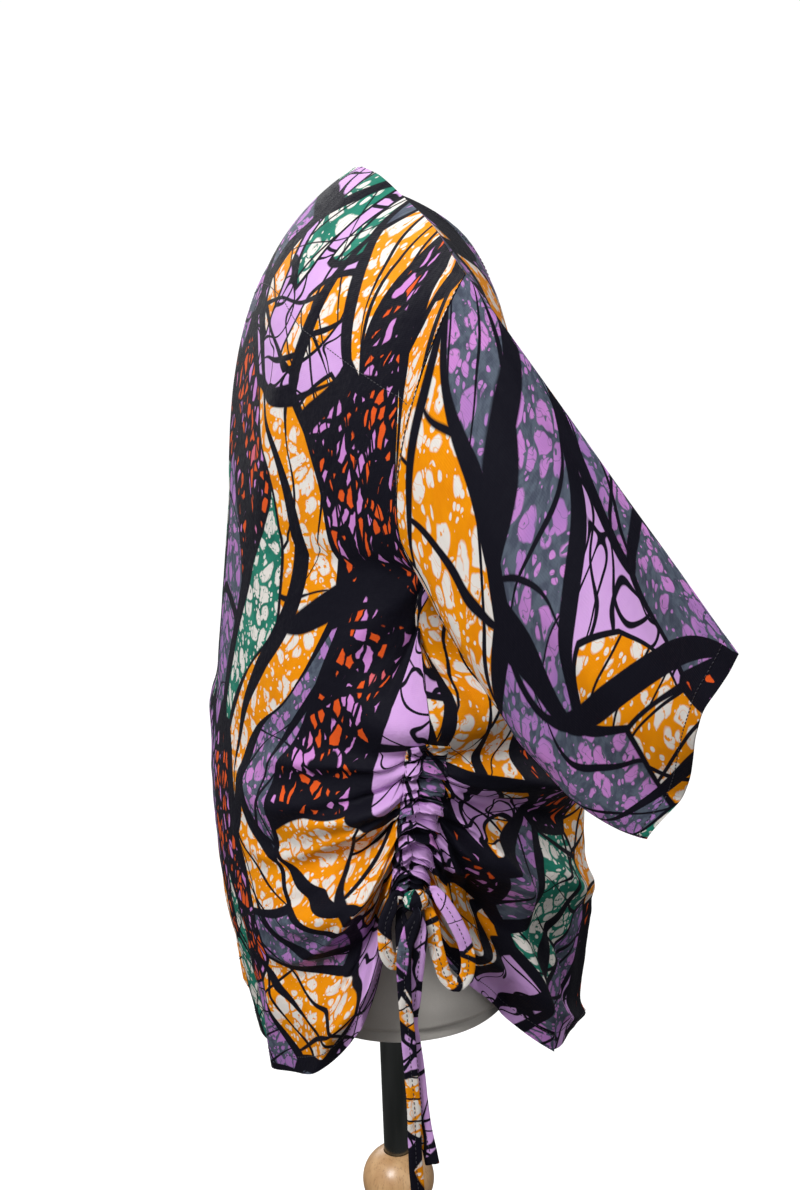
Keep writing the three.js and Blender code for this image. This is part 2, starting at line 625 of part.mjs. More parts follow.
// The rim is a flat plate under the torso, a little smaller than it, with a hole for the pole.
function formRim() {
  const outline = new THREE.Shape();
  const rounded = (value) => Math.sign(value) * Math.abs(value) ** FORM_ROUND;
  const points = range(0, 2 * Math.PI, FORM_SIDES).slice(0, -1).map((angle) => new THREE.Vector2(
    (FORM[0].half - 5) * rounded(Math.cos(angle)),
    (FORM[0].depth - 5) * rounded(Math.sin(angle)) + FORM[0].middle,
  ));
  outline.setFromPoints(points);
  const hole = new THREE.Path();
  hole.absarc(0, 0, POLE_RADIUS + SEAM_GAP, 0, 2 * Math.PI, true);
  outline.holes.push(hole);
  const extent = { depth: RIM_HEIGHT, bevelEnabled: false, curveSegments: 10 };
  const plate = new THREE.ExtrudeGeometry(outline, extent);
  add('form_rim', plate, FORM_CLOTH()).position.z = FORM_BOTTOM_Z - SEAM_GAP - RIM_HEIGHT;
}

// A body turned round Z, from [radius, height] corners that start and end on the axis.
function turned(corners, segments) {
  const profile = corners.map(([radius, height]) => new THREE.Vector2(radius, height));
  return new THREE.LatheGeometry(profile, segments).rotateX(Math.PI / 2);
}

function stand() {
  const poleTop = FORM_BOTTOM_Z - SEAM_GAP;
  const boreFloor = HUB_Z + HUB_RADIUS - HUB_BORE_DEPTH;
  const poleBottom = boreFloor + SEAM_GAP;
  const pole = turned([[0, poleBottom], [POLE_RADIUS, poleBottom], [POLE_RADIUS, poleTop], [0, poleTop]], 24);
  add('pole', pole, CHROME());

  const bore = POLE_RADIUS + SEAM_GAP;
  const mouth = Math.acos(bore / HUB_RADIUS);
  const foot = -Math.acos((COLUMN_RADIUS - 4) / HUB_RADIUS);
  const ball = range(foot, mouth, 14).map((lean) => [
    HUB_RADIUS * Math.cos(lean),
    HUB_Z + HUB_RADIUS * Math.sin(lean),
  ]);
  const hubFoot = ball[0][1];
  const hub = turned([[0, hubFoot], ...ball, [bore, boreFloor], [0, boreFloor]], 28);
  add('hub', hub, WOOD());

  const columnTop = hubFoot - SEAM_GAP;
  const columnFoot = BASE_HEIGHT + SEAM_GAP;
  const column = turned([
    [0, columnFoot],
    [COLUMN_RADIUS + 8, columnFoot],
    [COLUMN_RADIUS + 8, columnFoot + 14],
    [COLUMN_RADIUS, columnFoot + 26],
    [COLUMN_RADIUS, columnTop - 30],
    [COLUMN_RADIUS + 3, columnTop - 20],
    [COLUMN_RADIUS - 3, columnTop - 8],
    [COLUMN_RADIUS - 3, columnTop],
    [0, columnTop],
  ], 28);
  add('column', column, WOOD());

  const base = turned([
    [0, 0],
    [BASE_RADIUS - 4, 0],
    [BASE_RADIUS, 4],
    [BASE_RADIUS, BASE_HEIGHT - 8],
    [BASE_RADIUS - 10, BASE_HEIGHT],
    [0, BASE_HEIGHT],
  ], 40);
  add('base', base, WOOD());
}

// ---- Assembly -----------------------------------------------------------------------------------
backPanel();
for (const side of ['right', 'left']) {
  frontPanel(side);
  sleeve(side);
  casing(side);
  drawstring(side);
}
formTorso();
formRim();
stand();

export default group;
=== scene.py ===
import math

import bpy
import numpy as np
from mathutils import Matrix, Vector


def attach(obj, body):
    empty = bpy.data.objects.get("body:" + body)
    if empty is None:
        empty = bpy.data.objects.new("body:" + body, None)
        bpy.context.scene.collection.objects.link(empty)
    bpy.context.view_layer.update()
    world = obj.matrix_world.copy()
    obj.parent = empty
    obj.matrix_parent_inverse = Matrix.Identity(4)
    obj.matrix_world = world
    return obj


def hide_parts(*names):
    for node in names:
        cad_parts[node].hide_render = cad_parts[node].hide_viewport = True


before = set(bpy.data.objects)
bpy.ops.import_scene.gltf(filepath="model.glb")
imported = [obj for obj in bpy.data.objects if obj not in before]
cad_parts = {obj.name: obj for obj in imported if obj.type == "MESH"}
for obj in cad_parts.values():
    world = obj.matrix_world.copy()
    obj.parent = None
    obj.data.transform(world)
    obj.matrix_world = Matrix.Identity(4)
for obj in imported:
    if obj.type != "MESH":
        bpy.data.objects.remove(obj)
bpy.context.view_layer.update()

MM = 0.001

# ---- Camera ----
# Fitted to the photo, an image of 800 x 1190 whose long side is the sensor's 36 mm.
CAMERA_AZIMUTH = math.radians(258.0)
CAMERA_LOOKING = math.radians(258.0 - 0.8)
CAMERA_PITCH = math.radians(-16.6)
CAMERA_ROLL = math.radians(-2.0)
CAMERA_AWAY = 1.29
CAMERA_HEIGHT = 1.495
SENSOR = 36.0
FOCAL_PIXELS = 1796.0
IMAGE_PIXELS = 1190.0


def make_camera():
    place = Vector((math.sin(CAMERA_AZIMUTH) * CAMERA_AWAY, -math.cos(CAMERA_AZIMUTH) * CAMERA_AWAY,
                    CAMERA_HEIGHT))
    flat = Vector((-math.sin(CAMERA_LOOKING), math.cos(CAMERA_LOOKING), 0.0))
    forward = flat * math.cos(CAMERA_PITCH) + Vector((0, 0, 1)) * math.sin(CAMERA_PITCH)
    level = Vector((math.cos(CAMERA_LOOKING), math.sin(CAMERA_LOOKING), 0.0))
    above = level.cross(forward)
    right = level * math.cos(CAMERA_ROLL) + above * math.sin(CAMERA_ROLL)
    up = -level * math.sin(CAMERA_ROLL) + above * math.cos(CAMERA_ROLL)
    data = bpy.data.cameras.new("camera")
    data.sensor_fit = "AUTO"
    data.sensor_width = SENSOR
    data.lens = SENSOR * FOCAL_PIXELS / IMAGE_PIXELS
    data.clip_start = 0.01
    data.clip_end = 60.0
    camera = bpy.data.objects.new("camera", data)
    bpy.context.scene.collection.objects.link(camera)
    rotation = Matrix((right, up, -forward)).transposed()
    camera.matrix_world = Matrix.Translation(place) @ rotation.to_4x4()
    bpy.context.scene.camera = camera


# ---- Sizes of the jacket, in millimetres: the CAD model's, whose cloth is twice as thick ----
CLOTH = 1.0
SEAM_GAP = 0.35
HALF_FLAT = 270.0
BACK_LENGTH = 680.0
SHOULDER_X = 240.0
SHOULDER_Z = 1374.0
NECK_X = 80.0
ARMHOLE_MID_Z = 1282.0
ARMHOLE_HALF = SHOULDER_Z - ARMHOLE_MID_Z
ARMHOLE_LEAN_X = 11.0
ARMHOLE_LEAN_Y = 11.0
ARMHOLE_BACK = 27.0
ARMHOLE_FRONT = 34.0
HEM_BACK_Z = 757.0
HEM_FRONT_Z = 744.0
SIDE_HEM_Z = 955.0
LIFT_REACH = 80.0
LIFT_DROP = 0.25
LIFT_DROP_REACH = 8.0
FRONT_LIFT = 33.0
FRONT_LIFT_AT = 45.0
FRONT_LIFT_REACH = 55.0
LIFT_START = 0.5
SIDE_FALL = 604.0
SHOULDER_ROUND = 37.0
SIDE_TURN = 14.0
CASING_HALF = 15.0
CASING_SOFT = 7.0
CASING_CLOTH = 1.6
CHANNEL_RISE = 2.2
ARMPIT_DOWN = 2 * ARMHOLE_HALF / SIDE_FALL
# A turned hem: how far inside its edge it is stitched, its rise and the groove at its stitches.
STITCH_IN = 1.5
HEM_THICK = 0.55
HEM_GROOVE = 0.35
GROOVE_WIDTH = 1.6
# The power that rounds the body's outline, and the panels' length in their folds and hems.
ROUND = 1.15
FOLD_LENGTH = 640.0
# How the cloth's width is shared out round the body, and where its outline grows rounder.
BACK_SPREAD = 0.72, 0.28
FRONT_SPREAD = 0.8, 0.2
LOW_Z = 1230
LOW_REACH = 130
HEM_START_Z = 1000
HEM_REACH = 150

TOP_LINE = {
    "x": [0, 40, 80, 160, 240],
    "y": [-2, -4, -11, -16, -10],
    "z": [1424, 1421, 1409, 1392, 1374],
}
BODY = {
    "z": [1430, 1374, 1320, 1260, 1190, 1130, 1045, 960, 880, 830, 740],
    "back": [60, 72, 81, 91, 101, 108, 119, 129, 127, 119, 104],
    "front": [-82, -92, -96, -108, -122, -132, -143, -151, -151, -147, -134],
    "side": [240, 240, 234, 226, 218, 213, 209, 207, 200, 194, 182],
    "seam": [-10, -10, -4, 4, 12, 14, 18, 27, 25, 21, 17],
}
FRONT_EDGE = {"z": [1409, 1372, 1330, 1270, 1190, 750], "x": [80, 50, 28, 14, 10, 10]}

# The cloth's own folds are a little deeper than the solids'.
FOLD_DEPTH = 1.45
FINE_DEPTH = 2.1
# on, from, to, down, down_to, rise, spread: as the CAD model's folds.
FOLDS = [
    ("both", 0, 75, 0.37, 0.38, -12, 0.055),
    ("both", 0, 80, 0.475, 0.46, 12, 0.035),
    ("back", 14, 230, 0.60, 0.62, 9, 0.03),
    ("back", 18, 210, 0.68, 0.69, -8, 0.03),
    ("back", 16, 190, 0.75, 0.78, 9, 0.035),
    ("back", 20, 170, 0.86, 0.85, -12, 0.04),
    ("back", 24, 120, 0.95, 0.94, 8, 0.035),
    ("front", 14, 200, 0.57, 0.60, 9, 0.03),
    ("front", 18, 190, 0.65, 0.68, -8, 0.03),
    ("front", 16, 190, 0.73, 0.77, 9, 0.035),
    ("front", 20, 150, 0.82, 0.86, -12, 0.035),
    ("front", 22, 140, 0.90, 0.95, 11, 0.03),
]

# Finer folds over those. Each is a path of (away from the side seam in mm, share down) with its
# rise in mm and its half width at its start and end in mm.
FINE_BACK = [
    ([(10, 0.535), (60, 0.53), (120, 0.55), (175, 0.585)], 3.5, 5, 12),
    ([(10, 0.575), (50, 0.585), (95, 0.61), (130, 0.64)], -3.5, 4, 9),
    ([(10, 0.625), (60, 0.645), (110, 0.675), (160, 0.69), (215, 0.69)], 3.2, 4, 12),
    ([(10, 0.665), (50, 0.70), (95, 0.735), (150, 0.75)], -3.0, 4, 12),
    ([(12, 0.72), (40, 0.77), (75, 0.81), (120, 0.83), (180, 0.81)], 3.6, 4, 12),
    ([(12, 0.80), (32, 0.85), (62, 0.90), (105, 0.925)], -4.5, 4, 10),
    ([(14, 0.83), (26, 0.90), (40, 0.97), (48, 1.02)], 4.5, 4, 8),
    ([(16, 0.90), (22, 0.96), (27, 1.02)], -2.2, 3, 6),
    ([(60, 0.93), (95, 0.985), (120, 1.02)], 3.0, 10, 16),
    ([(150, 0.86), (175, 0.94), (190, 1.02)], 3.0, 14, 20),
    ([(215, 0.80), (230, 0.90), (240, 1.02)], -2.5, 14, 22),
    ([(6, 0.29), (60, 0.36), (110, 0.45)], 2.0, 8, 16),
    ([(4, 0.33), (30, 0.40), (40, 0.47)], -2.2, 6, 10),
    ([(180, 0.05), (200, 0.20), (215, 0.36)], 1.4, 16, 24),
    ([(70, 0.03), (52, 0.14), (30, 0.25)], -1.4, 12, 12),
]
FINE_FRONT = [
    ([(10, 0.535), (50, 0.55), (110, 0.60), (170, 0.63)], 3.5, 5, 12),
    ([(10, 0.59), (60, 0.62), (120, 0.66), (185, 0.68)], -3.5, 4, 12),
    ([(10, 0.64), (45, 0.68), (75, 0.75), (96, 0.84), (112, 0.93), (125, 1.02)], 6.0, 5, 14),
    ([(10, 0.69), (36, 0.745), (60, 0.82), (78, 0.90), (90, 1.0)], -5.0, 4, 12),
    ([(12, 0.76), (30, 0.83), (44, 0.91), (52, 1.02)], 3.6, 4, 9),
    ([(12, 0.84), (22, 0.90), (28, 1.0)], -2.6, 3, 6),
    ([(100, 0.70), (150, 0.76), (205, 0.80)], 3.6, 8, 14),
    ([(120, 0.80), (165, 0.88), (190, 0.99)], -4.0, 8, 14),
    ([(180, 0.74), (215, 0.86), (232, 1.0)], 3.4, 12, 16),
    ([(150, 0.94), (205, 0.975), (255, 0.985)], 3.5, 7, 9),
    ([(6, 0.29), (50, 0.37), (95, 0.47)], 2.2, 8, 14),
    ([(4, 0.34), (26, 0.41), (36, 0.48)], -2.4, 6, 9),
    ([(60, 0.03), (44, 0.13), (26, 0.24)], -1.6, 10, 12),
    ([(200, 0.12), (185, 0.30), (190, 0.50)], 2.0, 16, 22),
]
# Gathers that fan out of the casing: count, rise and reach of the coarse and of the fine ones.
GATHERS = (9, 3.9, 46), (20, 2.1, 26)

SLEEVE_LENGTH = 290.0
SLEEVE_GIRTH = 372.0
CUFF_HEM = 13.0
CUFF_LENGTH = 285.0
CUFF_TOP = np.array([-450.0, -93.0, 1197.0])
CUFF_BOTTOM = np.array([-335.0, -88.0, 1045.0])
CUFF_BACK = 2.0
CUFF_FRONT = 30.0
CUFF_SLANT = 34.0
CUFF_TURN = np.array([-0.369, 0.929, 0.0])
UNDERARM_SAG = 38.0
SLEEVE_VALLEY = 9.0
CUFF_WAVES = [(1.15, 7.0, 0.3), (2.05, -15.0, 0.5)]
# Long soft folds down the sleeve: along and turn at the start and the end, rise in mm, spread.
SLEEVE_FOLDS = [
    (0.08, 0.50, 0.97, 0.72, 2.6, 0.13),
    (0.05, 0.95, 0.99, 1.22, -3.2, 0.17),
    (0.12, 1.45, 1.00, 1.72, 3.2, 0.17),
    (0.25, 1.95, 1.00, 2.25, -2.8, 0.15),
    (0.30, 2.45, 1.00, 2.62, 2.4, 0.12),
    (0.05, -0.80, 0.97, -1.05, 2.8, 0.18),
    (0.10, -1.45, 1.00, -1.70, -3.0, 0.20),
    (0.20, -2.10, 1.00, -2.35, 2.8, 0.16),
]


# ---- Small tools ----
MIRROR = np.array([-1.0, 1.0, 1.0])
LATTICE = 64
def clamp01(value):
    return np.clip(value, 0.0, 1.0)


def smooth(at, value):
    """A curve through a table's rows, with no overshoot between them."""
    order = np.argsort(at)
    at = np.array(at, float)[order]
    value = np.array(value, float)[order]
    slope = np.diff(value) / np.diff(at)
    before = np.concatenate([slope[:1], slope])
    after = np.concatenate([slope, slope[-1:]])
    total = np.where(np.abs(before + after) < 1e-12, 1.0, before + after)
    tangent = np.where(before * after <= 0, 0.0, 2 * before * after / total)

    def curve(x):
        inside = np.clip(np.asarray(x, float), at[0], at[-1])
        i = np.searchsorted(at[1:-1], inside, side="left")
        width = at[i + 1] - at[i]
        t = (inside - at[i]) / width
        rise = t * t * (3 - 2 * t)
        bend = tangent[i] * t * (1 - t) ** 2 - tangent[i + 1] * t * t * (1 - t)
        return value[i] * (1 - rise) + value[i + 1] * rise + width * bend

    return curve


def unit(v):
    return v / np.maximum(np.linalg.norm(v, axis=-1, keepdims=True), 1e-12)


def soft_noise(x, y, seed):
    """Smooth noise from -1 to 1 over the plane, one cell for each unit."""
    lattice = np.random.default_rng(seed).uniform(-1, 1, (LATTICE, LATTICE))
    xi = np.floor(x).astype(int)
    yi = np.floor(y).astype(int)
    fx, fy = (f * f * (3 - 2 * f) for f in (x - xi, y - yi))
    a, b, c, d = (
        lattice[(xi + i) % LATTICE, (yi + j) % LATTICE] for j in (0, 1) for i in (0, 1)
    )
    return (a * (1 - fx) + b * fx) * (1 - fy) + (c * (1 - fx) + d * fx) * fy


def from_path(x, y, path, samples=40):
    """Distance from a smooth path, and the share along it."""
    path = np.array(path, float)
    knots = np.linspace(0, 1, len(path))
    t = np.linspace(0, 1, samples)
    px = smooth(knots, path[:, 0])(t)
    py = smooth(knots, path[:, 1])(t)
    best = np.full(x.shape, 1e9)
    along = np.zeros(x.shape)
    for i in range(samples - 1):
        ax, ay = px[i], py[i]
        bx, by = px[i + 1] - ax, py[i + 1] - ay
        s = clamp01(((x - ax) * bx + (y - ay) * by) / (bx * bx + by * by + 1e-9))
        d = np.hypot(x - ax - s * bx, y - ay - s * by)
        nearer = d < best
        best = np.where(nearer, d, best)
        along = np.where(nearer, (i + s) / (samples - 1), along)
    return best, along


top_y = smooth(TOP_LINE["x"], TOP_LINE["y"])
top_z = smooth(TOP_LINE["x"], TOP_LINE["z"])
back_depth = smooth(BODY["z"], BODY["back"])
front_depth = smooth(BODY["z"], BODY["front"])
side_width = smooth(BODY["z"], BODY["side"])
seam_depth = smooth(BODY["z"], BODY["seam"])
front_edge = smooth(FRONT_EDGE["z"], FRONT_EDGE["x"])


# ---- The body of the jacket, for the wearer's right ----
def side_x(z):
    turn = (z - ARMHOLE_MID_Z) / ARMHOLE_HALF
    armhole = SHOULDER_X - ARMHOLE_LEAN_X + ARMHOLE_LEAN_X * np.minimum(1, turn)
    return np.where(turn >= -1, armhole, np.minimum(armhole, side_width(z)))


def fullness(angle):
    return 1.25 * np.abs(np.sin(angle)) * np.abs(np.sin(angle / 2)) ** 0.8


def edge_y(z, is_back):
    turn = clamp01((z - ARMHOLE_MID_Z) / ARMHOLE_HALF / 2 + 0.5) * 2 - 1
    opening = (ARMHOLE_BACK if is_back else -ARMHOLE_FRONT) * fullness(np.arccos(turn))
    return np.where(turn <= -1, seam_depth(z), 1 - ARMHOLE_LEAN_Y * turn + opening)


def beyond_casing(across):
    past = (1 - across) * HALF_FLAT - CASING_HALF + CASING_SOFT
    soft = np.where(past < 2 * CASING_SOFT, past * past / (4 * CASING_SOFT), past - CASING_SOFT)
    return np.where(past <= 0, 0.0, soft)


def free_height(across, down, x, is_back):
    hem = HEM_BACK_Z if is_back else HEM_FRONT_Z
    top = top_z(x)
    end = hem + (SHOULDER_Z - SIDE_FALL - hem) * across**6
    return top - (top - end) * down


def height_at(across, down, x, is_back):
    gathered = clamp01((down - LIFT_START) / (1 - LIFT_START))
    past = beyond_casing(across)
    drop = LIFT_DROP * np.exp(-past / LIFT_DROP_REACH)
    reach = drop + (1 - LIFT_DROP) * np.exp(-past / LIFT_REACH)
    lift = (SIDE_HEM_Z - SHOULDER_Z + SIDE_FALL) * reach
    if not is_back:
        swag = np.exp(-(((past - FRONT_LIFT_AT) / FRONT_LIFT_REACH) ** 2))
        lift = lift + FRONT_LIFT * swag * (1 - np.exp(-past / 10))
    return free_height(across, down, x, is_back) + lift * gathered**1.1


def shoulder_angle(even):
    start = math.asin((NECK_X / SHOULDER_X) ** ROUND)
    return start + (math.pi / 2 - start) * even


def body_base(across, down, is_back):
    across, down = np.broadcast_arrays(np.asarray(across, float), np.asarray(down, float))
    near, far = BACK_SPREAD if is_back else FRONT_SPREAD
    even = across * (near + far * across)
    start = np.zeros_like(across)
    z = np.full_like(across, SHOULDER_Z)
    x = z
    for _ in range(3):
        width = side_x(z)
        if not is_back:
            start = np.arcsin(np.clip(front_edge(z) / width, 0, 1) ** ROUND)
        angle = start + (math.pi / 2 - start) * even
        x = width * np.sin(angle) ** (1 / ROUND)
        top_angle = angle if is_back else shoulder_angle(even)
        top_x = SHOULDER_X * np.sin(top_angle) ** (1 / ROUND)
        z = height_at(across, down, top_x, is_back)
    angle = start + (math.pi / 2 - start) * even
    low = clamp01((LOW_Z - z) / LOW_REACH)
    low_round = 0.5 if is_back else 0.5 + 0.13 * clamp01((HEM_START_Z - z) / HEM_REACH)
    curve = low_round * low + (1.0 if is_back else 1.6) * (1 - low)
    fall = np.maximum(0, top_z(x) - z)
    spread = 1 - np.exp(-fall / SHOULDER_ROUND)
    full = back_depth(z) if is_back else front_depth(z)
    centre = top_y(x) + (full - top_y(x)) * spread
    edge = edge_y(z, is_back)
    y = edge + (centre - edge) * np.abs(np.cos(angle)) ** (2 * curve)
    return np.stack([-x, y, z], -1)


def body_turn(across, down, is_back):
    """The surface's outward normal, turned level at the side and upright at the top edge."""
    step = 0.004

    def run(low, high):
        return body_base(*high, is_back) - body_base(*low, is_back)

    along_across = run((np.maximum(0, across - step), down), (np.minimum(1, across + step), down))
    along_down = run((across, np.maximum(0, down - step)), (across, np.minimum(1, down + step)))
    normal = unit(np.cross(along_across, along_down))
    way = 1.0 if is_back else -1.0
    outwards = np.stack(np.broadcast_arrays(-0.4 - across, way, 0.5), -1)
    normal = np.where(np.sum(normal * outwards, -1, keepdims=True) < 0, -normal, normal)
    low = clamp01((down - ARMPIT_DOWN) / 0.01 + 1)
    side = (low * np.exp(-((((1 - across) * HALF_FLAT) / SIDE_TURN) ** 2)))[..., None]
    normal = normal + (np.array([-1.0, 0, 0]) - normal) * side
    top = np.exp(-(down * BACK_LENGTH / 9))[..., None]
    normal = normal + (np.array([0, 0, 1.0]) - normal) * top
    return unit(normal)


def fold_rise(across, down, is_back):
    away = (1 - across) * HALF_FLAT
    rise = np.zeros_like(away + down)
    for on, start, end, at, at_end, height, spread in FOLDS:
        if on == ("front" if is_back else "back"):
            continue
        along = (away - start) / (end - start)
        inside = clamp01(along)
        if start > 0:
            swell = np.sin(math.pi * np.sqrt(inside))
            swell = np.where((along <= 0) | (along >= 1), 0.0, swell)
        else:
            swell = np.where(along >= 1, 0.0, np.cos(math.pi / 2 * inside))
        off = (down - at - (at_end - at) * inside) / spread
        rise = rise + FOLD_DEPTH * height * swell * np.exp(-off * off)
    return rise


def gathers(away, down):
    """Irregular small gathers that fan out of the casing."""
    along = (down - LIFT_START) / (1 - LIFT_START)
    inside = clamp01(along * 7) * clamp01((1.04 - along) * 9)
    wander = 0.24 * soft_noise(along * 7 + 3, away * 0.03, 5) + 0.0022 * away * (along - 0.4)
    pick = 0.75 + 0.5 * soft_noise(along * 9 + 11, away * 0.01, 8)
    (count, rise, reach), (fine_count, fine_height, fine_reach) = GATHERS
    coarse = np.cos(2 * math.pi * (count * along + wander)) * np.exp(-((away / reach) ** 2))
    fine = np.cos(2 * math.pi * (fine_count * along + 1.7 * wander))
    fine = fine * np.exp(-((away / fine_reach) ** 2))
    return inside * (rise * coarse * pick + fine_height * fine)


def fine_rise(across, down, is_back, seed):
    away = (1 - across) * HALF_FLAT
    away, down = np.broadcast_arrays(away, down)
    flat_down = down * FOLD_LENGTH
    rise = gathers(away, down)
    for path, height, first, last in FINE_BACK if is_back else FINE_FRONT:
        line = [(a, d * FOLD_LENGTH) for a, d in path]
        off, along = from_path(away, flat_down, line)
        width = first + (last - first) * along
        swell = clamp01(along * 7) * clamp01((1 - along) * 3.5)
        if path[-1][1] >= 1:
            swell = clamp01(along * 7)
        rise = rise + FINE_DEPTH * height * swell * np.exp(-np.abs(off / width) ** 1.7)
    beyond = clamp01(away / 40) * clamp01(down / 0.03)
    low = 0.5 * clamp01((down - 0.45) * 4)
    for size, x, y in (
        (1.2, away / 70, flat_down / 110),
        (0.45, away / 23, flat_down / 34),
        (low, away / 30 + flat_down / 60, flat_down / 14),
    ):
        rise = rise + size * beyond * soft_noise(x, y, seed)
        seed += 1
    return rise


def hem_step(distance, width):
    """Relief of a turned and stitched edge: thicker cloth up to the stitches, drawn in at them."""
    thick = HEM_THICK * clamp01((width + STITCH_IN - distance) / STITCH_IN)
    return thick - HEM_GROOVE * np.exp(-(((distance - width + STITCH_IN) / GROOVE_WIDTH) ** 2))


def body_point(across, down, is_back, seed, out):
    rise = fold_rise(across, down, is_back) + fine_rise(across, down, is_back, seed)
    turn = body_turn(across, down, is_back)
    return body_base(across, down, is_back) + turn * (rise + out)[..., None]


# ---- Meshes ----
def is_inside_out(vertices, faces):
    """Whether the faces of closed shells look inwards, by the sign of their volume."""
    fans = [(face[0], face[k], face[k + 1]) for face in faces for k in range(1, len(face) - 1)]
    p, q, r = (vertices[corner] for corner in np.array(fans).T)
    return np.sum(p * np.cross(q, r)) < 0


def link(name, vertices, faces, uv, material, flat_faces=()):
    """A closed mesh from vertices in millimetres; uv holds a pair for each vertex."""
    mesh = bpy.data.meshes.new(name)
    vertices = np.asarray(vertices, float) * MM
    faces = [tuple(map(int, face)) for face in faces]
    if is_inside_out(vertices, faces):
        faces = [face[::-1] for face in faces]
    mesh.from_pydata(vertices.tolist(), [], faces)
    mesh.validate()
    shade = np.ones(len(mesh.polygons), bool)
    shade[list(flat_faces)] = False
    mesh.polygons.foreach_set("use_smooth", shade)
    if uv is not None:
        layer = mesh.uv_layers.new(name="cloth")
        loops = np.empty(len(mesh.loops), dtype=np.int64)
        mesh.loops.foreach_get("vertex_index", loops)
        layer.data.foreach_set("uv", np.asarray(uv, np.float32)[loops].ravel())
    mesh.update()
    mesh.materials.append(material)
    piece = bpy.data.objects.new(name, mesh)
    bpy.context.scene.collection.objects.link(piece)
    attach(piece, "root")
    return piece


def grid_faces(rows, columns, first=0, closed=False):
    wide = columns if closed else columns - 1
    i, j = np.meshgrid(np.arange(rows - 1), np.arange(wide), indexing="ij")
    a = first + i * columns + j
    d = first + i * columns + (j + 1) % columns
    return np.stack([a, a + columns, d + columns, d], -1).reshape(-1, 4)


def tube_faces(rows, columns):
    """A closed tube's sides and its two ends."""
    ends = [tuple(range(columns)), tuple(range(rows * columns - 1, (rows - 1) * columns - 1, -1))]
    return [tuple(face) for face in grid_faces(rows, columns, 0, True)] + ends


def sheet_mesh(name, outer, inner, uv, mirror=False):
    """A thin wall between two grids of points, with crisp edges of its own."""
    rows, columns = outer.shape[:2]
    total = rows * columns
    faces = [grid_faces(rows, columns), grid_faces(rows, columns, total)[:, ::-1]]
    vertices = [outer.reshape(-1, 3), inner.reshape(-1, 3)]
    uvs = [uv.reshape(-1, 2)] * 2
    total *= 2
    first, last = np.s_[:, 0], np.s_[:, -1]
    for edge, turned in ((0, True), (-1, False), (first, False), (last, True)):
        vertices += [outer[edge], inner[edge]]
        uvs += [uv[edge]] * 2
        strip = grid_faces(2, len(uv[edge]), total)
        faces.append(strip[:, ::-1] if turned else strip)
        total += 2 * len(uv[edge])
    vertices = np.concatenate(vertices) * (MIRROR if mirror else 1)
    return link(name, vertices, np.concatenate(faces), np.concatenate(uvs), PRINT)


def catmull(points, count):
    """Even points along the centripetal curve through the given ones, as in the CAD model."""
    points = np.asarray(points, float)
    padded = np.concatenate([[2 * points[0] - points[1]], points, [2 * points[-1] - points[-2]]])
    dense = []
    for i in range(len(points) - 1):
        p0, p1, p2, p3 = padded[i : i + 4]
        d0, d1, d2 = (np.linalg.norm(b - a) ** 0.5 for a, b in ((p0, p1), (p1, p2), (p2, p3)))
        t1 = ((p1 - p0) / d0 - (p2 - p0) / (d0 + d1) + (p2 - p1) / d1) * d1
        t2 = ((p2 - p1) / d1 - (p3 - p1) / (d1 + d2) + (p3 - p2) / d2) * d1
        t = np.linspace(0, 1, 24, endpoint=i == len(points) - 2)[:, None]
        c2 = -3 * p1 + 3 * p2 - 2 * t1 - t2
        c3 = 2 * p1 - 2 * p2 + t1 + t2
        dense.append(p1 + t1 * t + c2 * t**2 + c3 * t**3)
    dense = np.concatenate(dense)
    far = np.concatenate([[0], np.cumsum(np.linalg.norm(np.diff(dense, axis=0), axis=1))])
    at = np.linspace(0, far[-1], count)
    return np.stack([np.interp(at, far, dense[:, k]) for k in range(3)], -1), far[-1]


